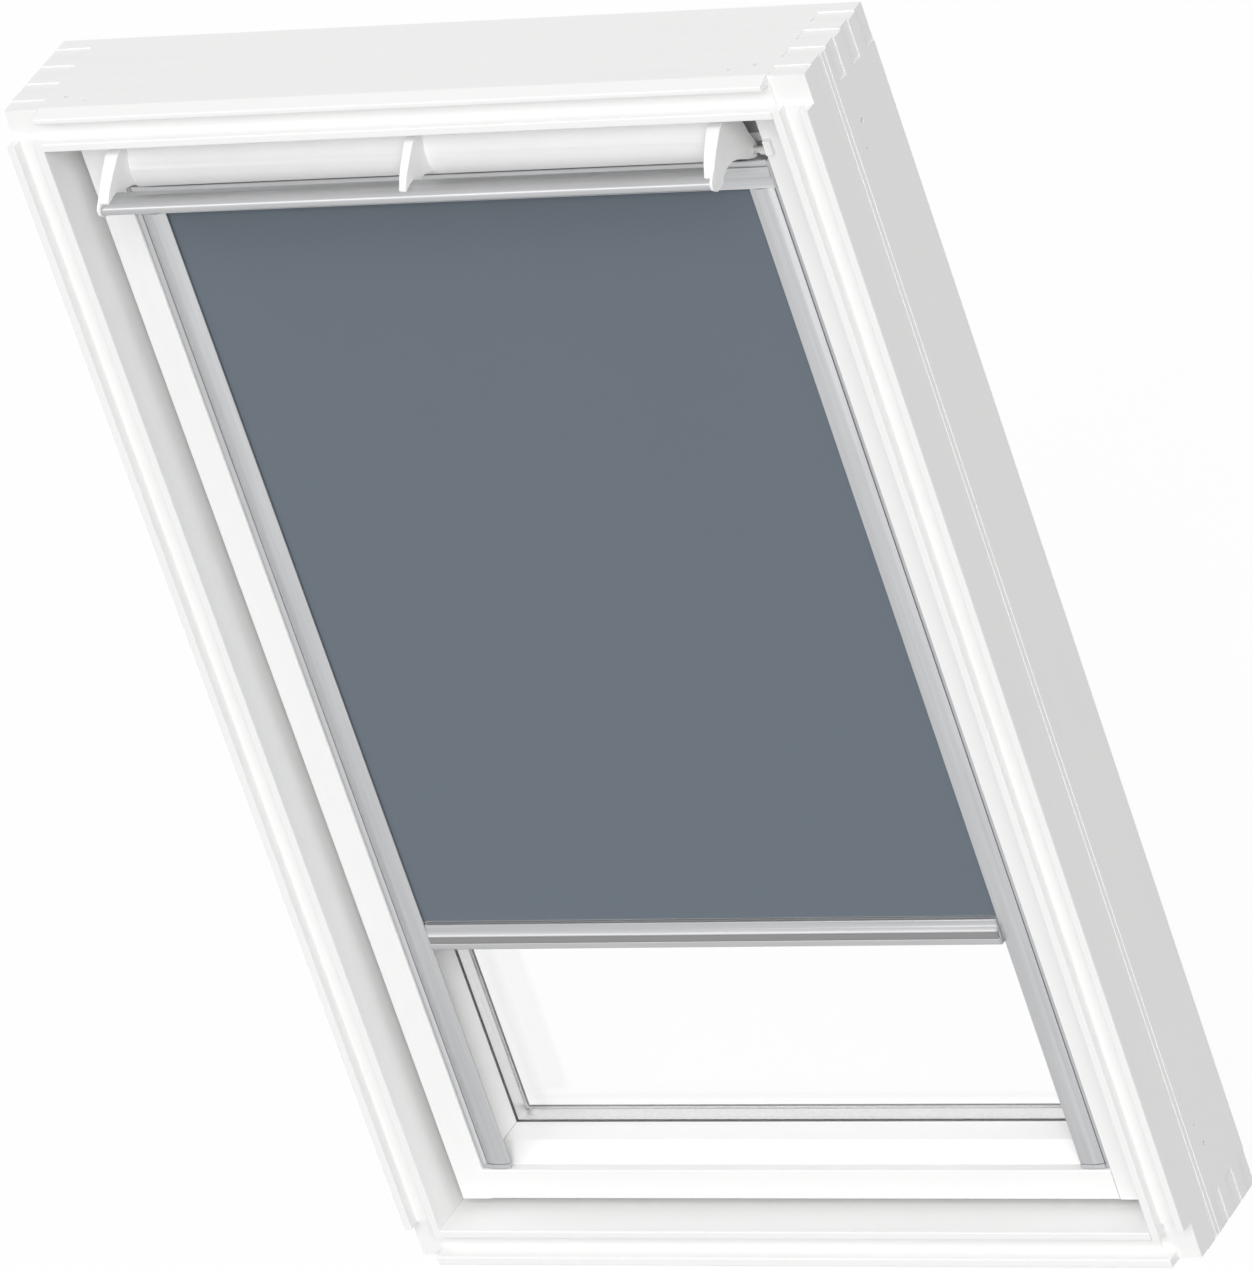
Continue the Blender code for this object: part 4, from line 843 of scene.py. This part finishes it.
def build_rails(looks):
    for word, side in SIDES:
        rail = along_z("rail_profile_" + word, rail_outline(side), RAIL_BASE, RAIL_TOP,
                       looks["alu_z"])
        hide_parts("blind_rail_" + word)
        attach(rail, "sash")


# Headbox. Its face is given as (behind the rails' front, below its top) and the
# foot of the face as (behind the rails' front, above its base).
HEADBOX_WALL = 0.0012
HEADBOX_MOUTH = 0.0085  # from the rails' front to the floor's edge
HEADBOX_OUTER_BACK = 0.0040
HEADBOX_INNER_BACK = 0.0030
HEADBOX_INNER_TOP = 0.0010
HEADBOX_FACE = ((0.0010, 0.0, 0.0014), (0.0006, 0.0040, 0.0004), (0.0021, 0.0044),
                (0.0021, 0.0060), (0.0006, 0.0064, 0.0004), (0.0006, 0.0085, 0.0020),
                (0.0, 0.0100, 0.0020), (0.0, 0.0150, 0.0020), (0.0008, 0.0170, 0.0020))
HEADBOX_FOOT = ((0.0010, 0.0020, 0.0030), (0.0002, 0.0, 0.0003), (0.0014, 0.0),
                (0.0026, 0.0030))
HEADBOX_INNER_FRONT = 0.0032


def build_headbox(looks):
    """Headbox cover: groove and raised band, rounded back, mouth for the cloth."""
    front, back = RAIL_FRONT, RAIL_FRONT + HEADBOX_DEPTH
    base, top, wall = HEADBOX_BASE, HEADBOX_TOP, HEADBOX_WALL
    mouth = front + HEADBOX_MOUTH
    outline = [(mouth, base), (back, base, HEADBOX_OUTER_BACK),
               (back, top, HEADBOX_OUTER_BACK)]
    outline += [(front + behind, top - below, *radius)
                for behind, below, *radius in HEADBOX_FACE]
    outline += moved(HEADBOX_FOOT, front, base)
    outline += [(front + HEADBOX_INNER_FRONT, top - wall, HEADBOX_INNER_TOP),
                (back - wall, top - wall, HEADBOX_INNER_BACK),
                (back - wall, base + wall, HEADBOX_INNER_BACK),
                (mouth, base + wall)]
    box = along_x("headbox_cover", rounded(outline), -HEADBOX_HALF, HEADBOX_HALF,
                  looks["alu_x"])
    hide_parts("blind_headbox")
    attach(box, "sash")


# Screws. The head is given as (height, share of its radius), and the cross as
# shares of that radius: its middle and what its arms add.
SCREW_HEAD = ((0.0, 1.0), (0.00018, 1.0), (0.00042, 0.86), (0.00055, 0.60))
SCREW_STEPS = 24
SCREW_PIT = 0.0004
CROSS_MIDDLE = 0.14
CROSS_ARMS = 0.30
CROSS_SHARPNESS = 6
SCREW_SMOOTH = 35.0
PLATE_SCREW = 0.0036
PLATE_SCREW_DEPTH = 0.072
PLATE_SCREW_HEIGHTS = (0.5460, 0.6320)
FRAME_PLATE_FACE = 0.3517
SASH_PLATE_FACE = 0.3463
STRIKER_SCREW = 0.0030
STRIKER_SCREW_PLACE = (0.0160, 0.0548, 1.1402)
LOCK_SCREW = 0.0028
LOCK_SCREW_PLACE = (0.0370, 0.0500)
LOCK_SCREW_HEIGHTS = (1.1040, 1.1240)


def screw(name, centre, direction, radius, material, body):
    """Cross-head screw whose head lies on a face."""
    turn = Vector(direction).to_track_quat("Z", "Y").to_matrix()
    angles = [2 * math.pi * step / SCREW_STEPS for step in range(SCREW_STEPS)]

    def ring(height, shares):
        sizes = [radius * share for share in shares]
        return [Vector(centre) + turn @ Vector((size * math.cos(angle),
                                                size * math.sin(angle), height))
                for angle, size in zip(angles, sizes)]

    cross = [CROSS_MIDDLE + CROSS_ARMS * abs(math.cos(2 * angle)) ** CROSS_SHARPNESS
             for angle in angles]
    top = SCREW_HEAD[-1][0]
    rings = [ring(height, [share] * SCREW_STEPS) for height, share in SCREW_HEAD]
    rings += [ring(top, cross), ring(top - SCREW_PIT, cross)]
    piece = loft(name, rings, material, SCREW_SMOOTH)
    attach(piece, body)


def build_screws(looks):
    steel = looks["steel"]
    for word, side in SIDES:
        for index, height in enumerate(PLATE_SCREW_HEIGHTS):
            screw(f"frame_plate_screw_{word}_{index}",
                  (side * FRAME_PLATE_FACE, at(PLATE_SCREW_DEPTH), height),
                  (-side, 0, 0), PLATE_SCREW, steel, "frame")
            screw(f"sash_plate_screw_{word}_{index}",
                  (side * SASH_PLATE_FACE, at(PLATE_SCREW_DEPTH), height),
                  (side, 0, 0), PLATE_SCREW, steel, "sash")
        x, depth, height = STRIKER_SCREW_PLACE
        screw(f"striker_screw_{word}", (side * x, at(depth), height),
              (0, 0, -1), STRIKER_SCREW, steel, "frame")
        x, depth = LOCK_SCREW_PLACE
        for index, height in enumerate(LOCK_SCREW_HEIGHTS):
            screw(f"lock_screw_{word}_{index}", (side * x, at(depth), height),
                  (0, -1, 0), LOCK_SCREW, steel, "sash")


# Ground
FLOOR_HALF = 40.0
FLOOR_DROP = 0.0008
FLOOR_DARK = (0.44, 0.44, 0.44)
FLOOR_LIGHT = (0.46, 0.46, 0.46)
FLOOR_SHADED = (0.96, 0.96, 0.96, 1.0)
FLOOR_GLOW = 0.95       # share of the floor's look that takes no shadow


def build_floor():
    """Grey floor that shows as nearly white where it is seen directly."""
    mesh = bpy.data.meshes.new("studio_floor")
    corners = [(-FLOOR_HALF, -FLOOR_HALF, 0), (FLOOR_HALF, -FLOOR_HALF, 0),
               (FLOOR_HALF, FLOOR_HALF, 0), (-FLOOR_HALF, FLOOR_HALF, 0)]
    mesh.from_pydata(corners, [], [(0, 1, 2, 3)])
    floor = bpy.data.objects.new("studio_floor", mesh)
    floor.location = (0.0, 0.0, -FLOOR_DROP)
    look = Nodes("studio_floor")
    cloud = look.noise(look.place, scale=0.4, detail=2.0)
    look.colour(cloud, FLOOR_DARK, FLOOR_LIGHT, first=0.3, last=0.7)
    look.set({"Roughness": 0.9, "Specular IOR Level": 0.1})
    pale = look.new("ShaderNodeEmission", {"Color": WHITE, "Strength": 1.0})
    shaded = look.new("ShaderNodeBsdfDiffuse", {"Color": FLOOR_SHADED})
    shown = mixed_shaders(look.tree, FLOOR_GLOW, shaded.outputs[0], pale.outputs[0])
    look.surface(mixed_shaders(look.tree, direct_view(look.tree),
                               look.shader.outputs[0], shown))
    mesh.materials.append(look.material)
    bpy.context.scene.collection.objects.link(floor)


build_camera()
build_light()
all_looks = build_materials()
dress_nodes(all_looks)
build_cloth(all_looks)
build_roll(all_looks)
build_bottom_bar(all_looks)
build_control_bar(all_looks)
build_brackets(all_looks)
build_flap(all_looks)
build_rails(all_looks)
build_headbox(all_looks)
build_screws(all_looks)
build_floor()
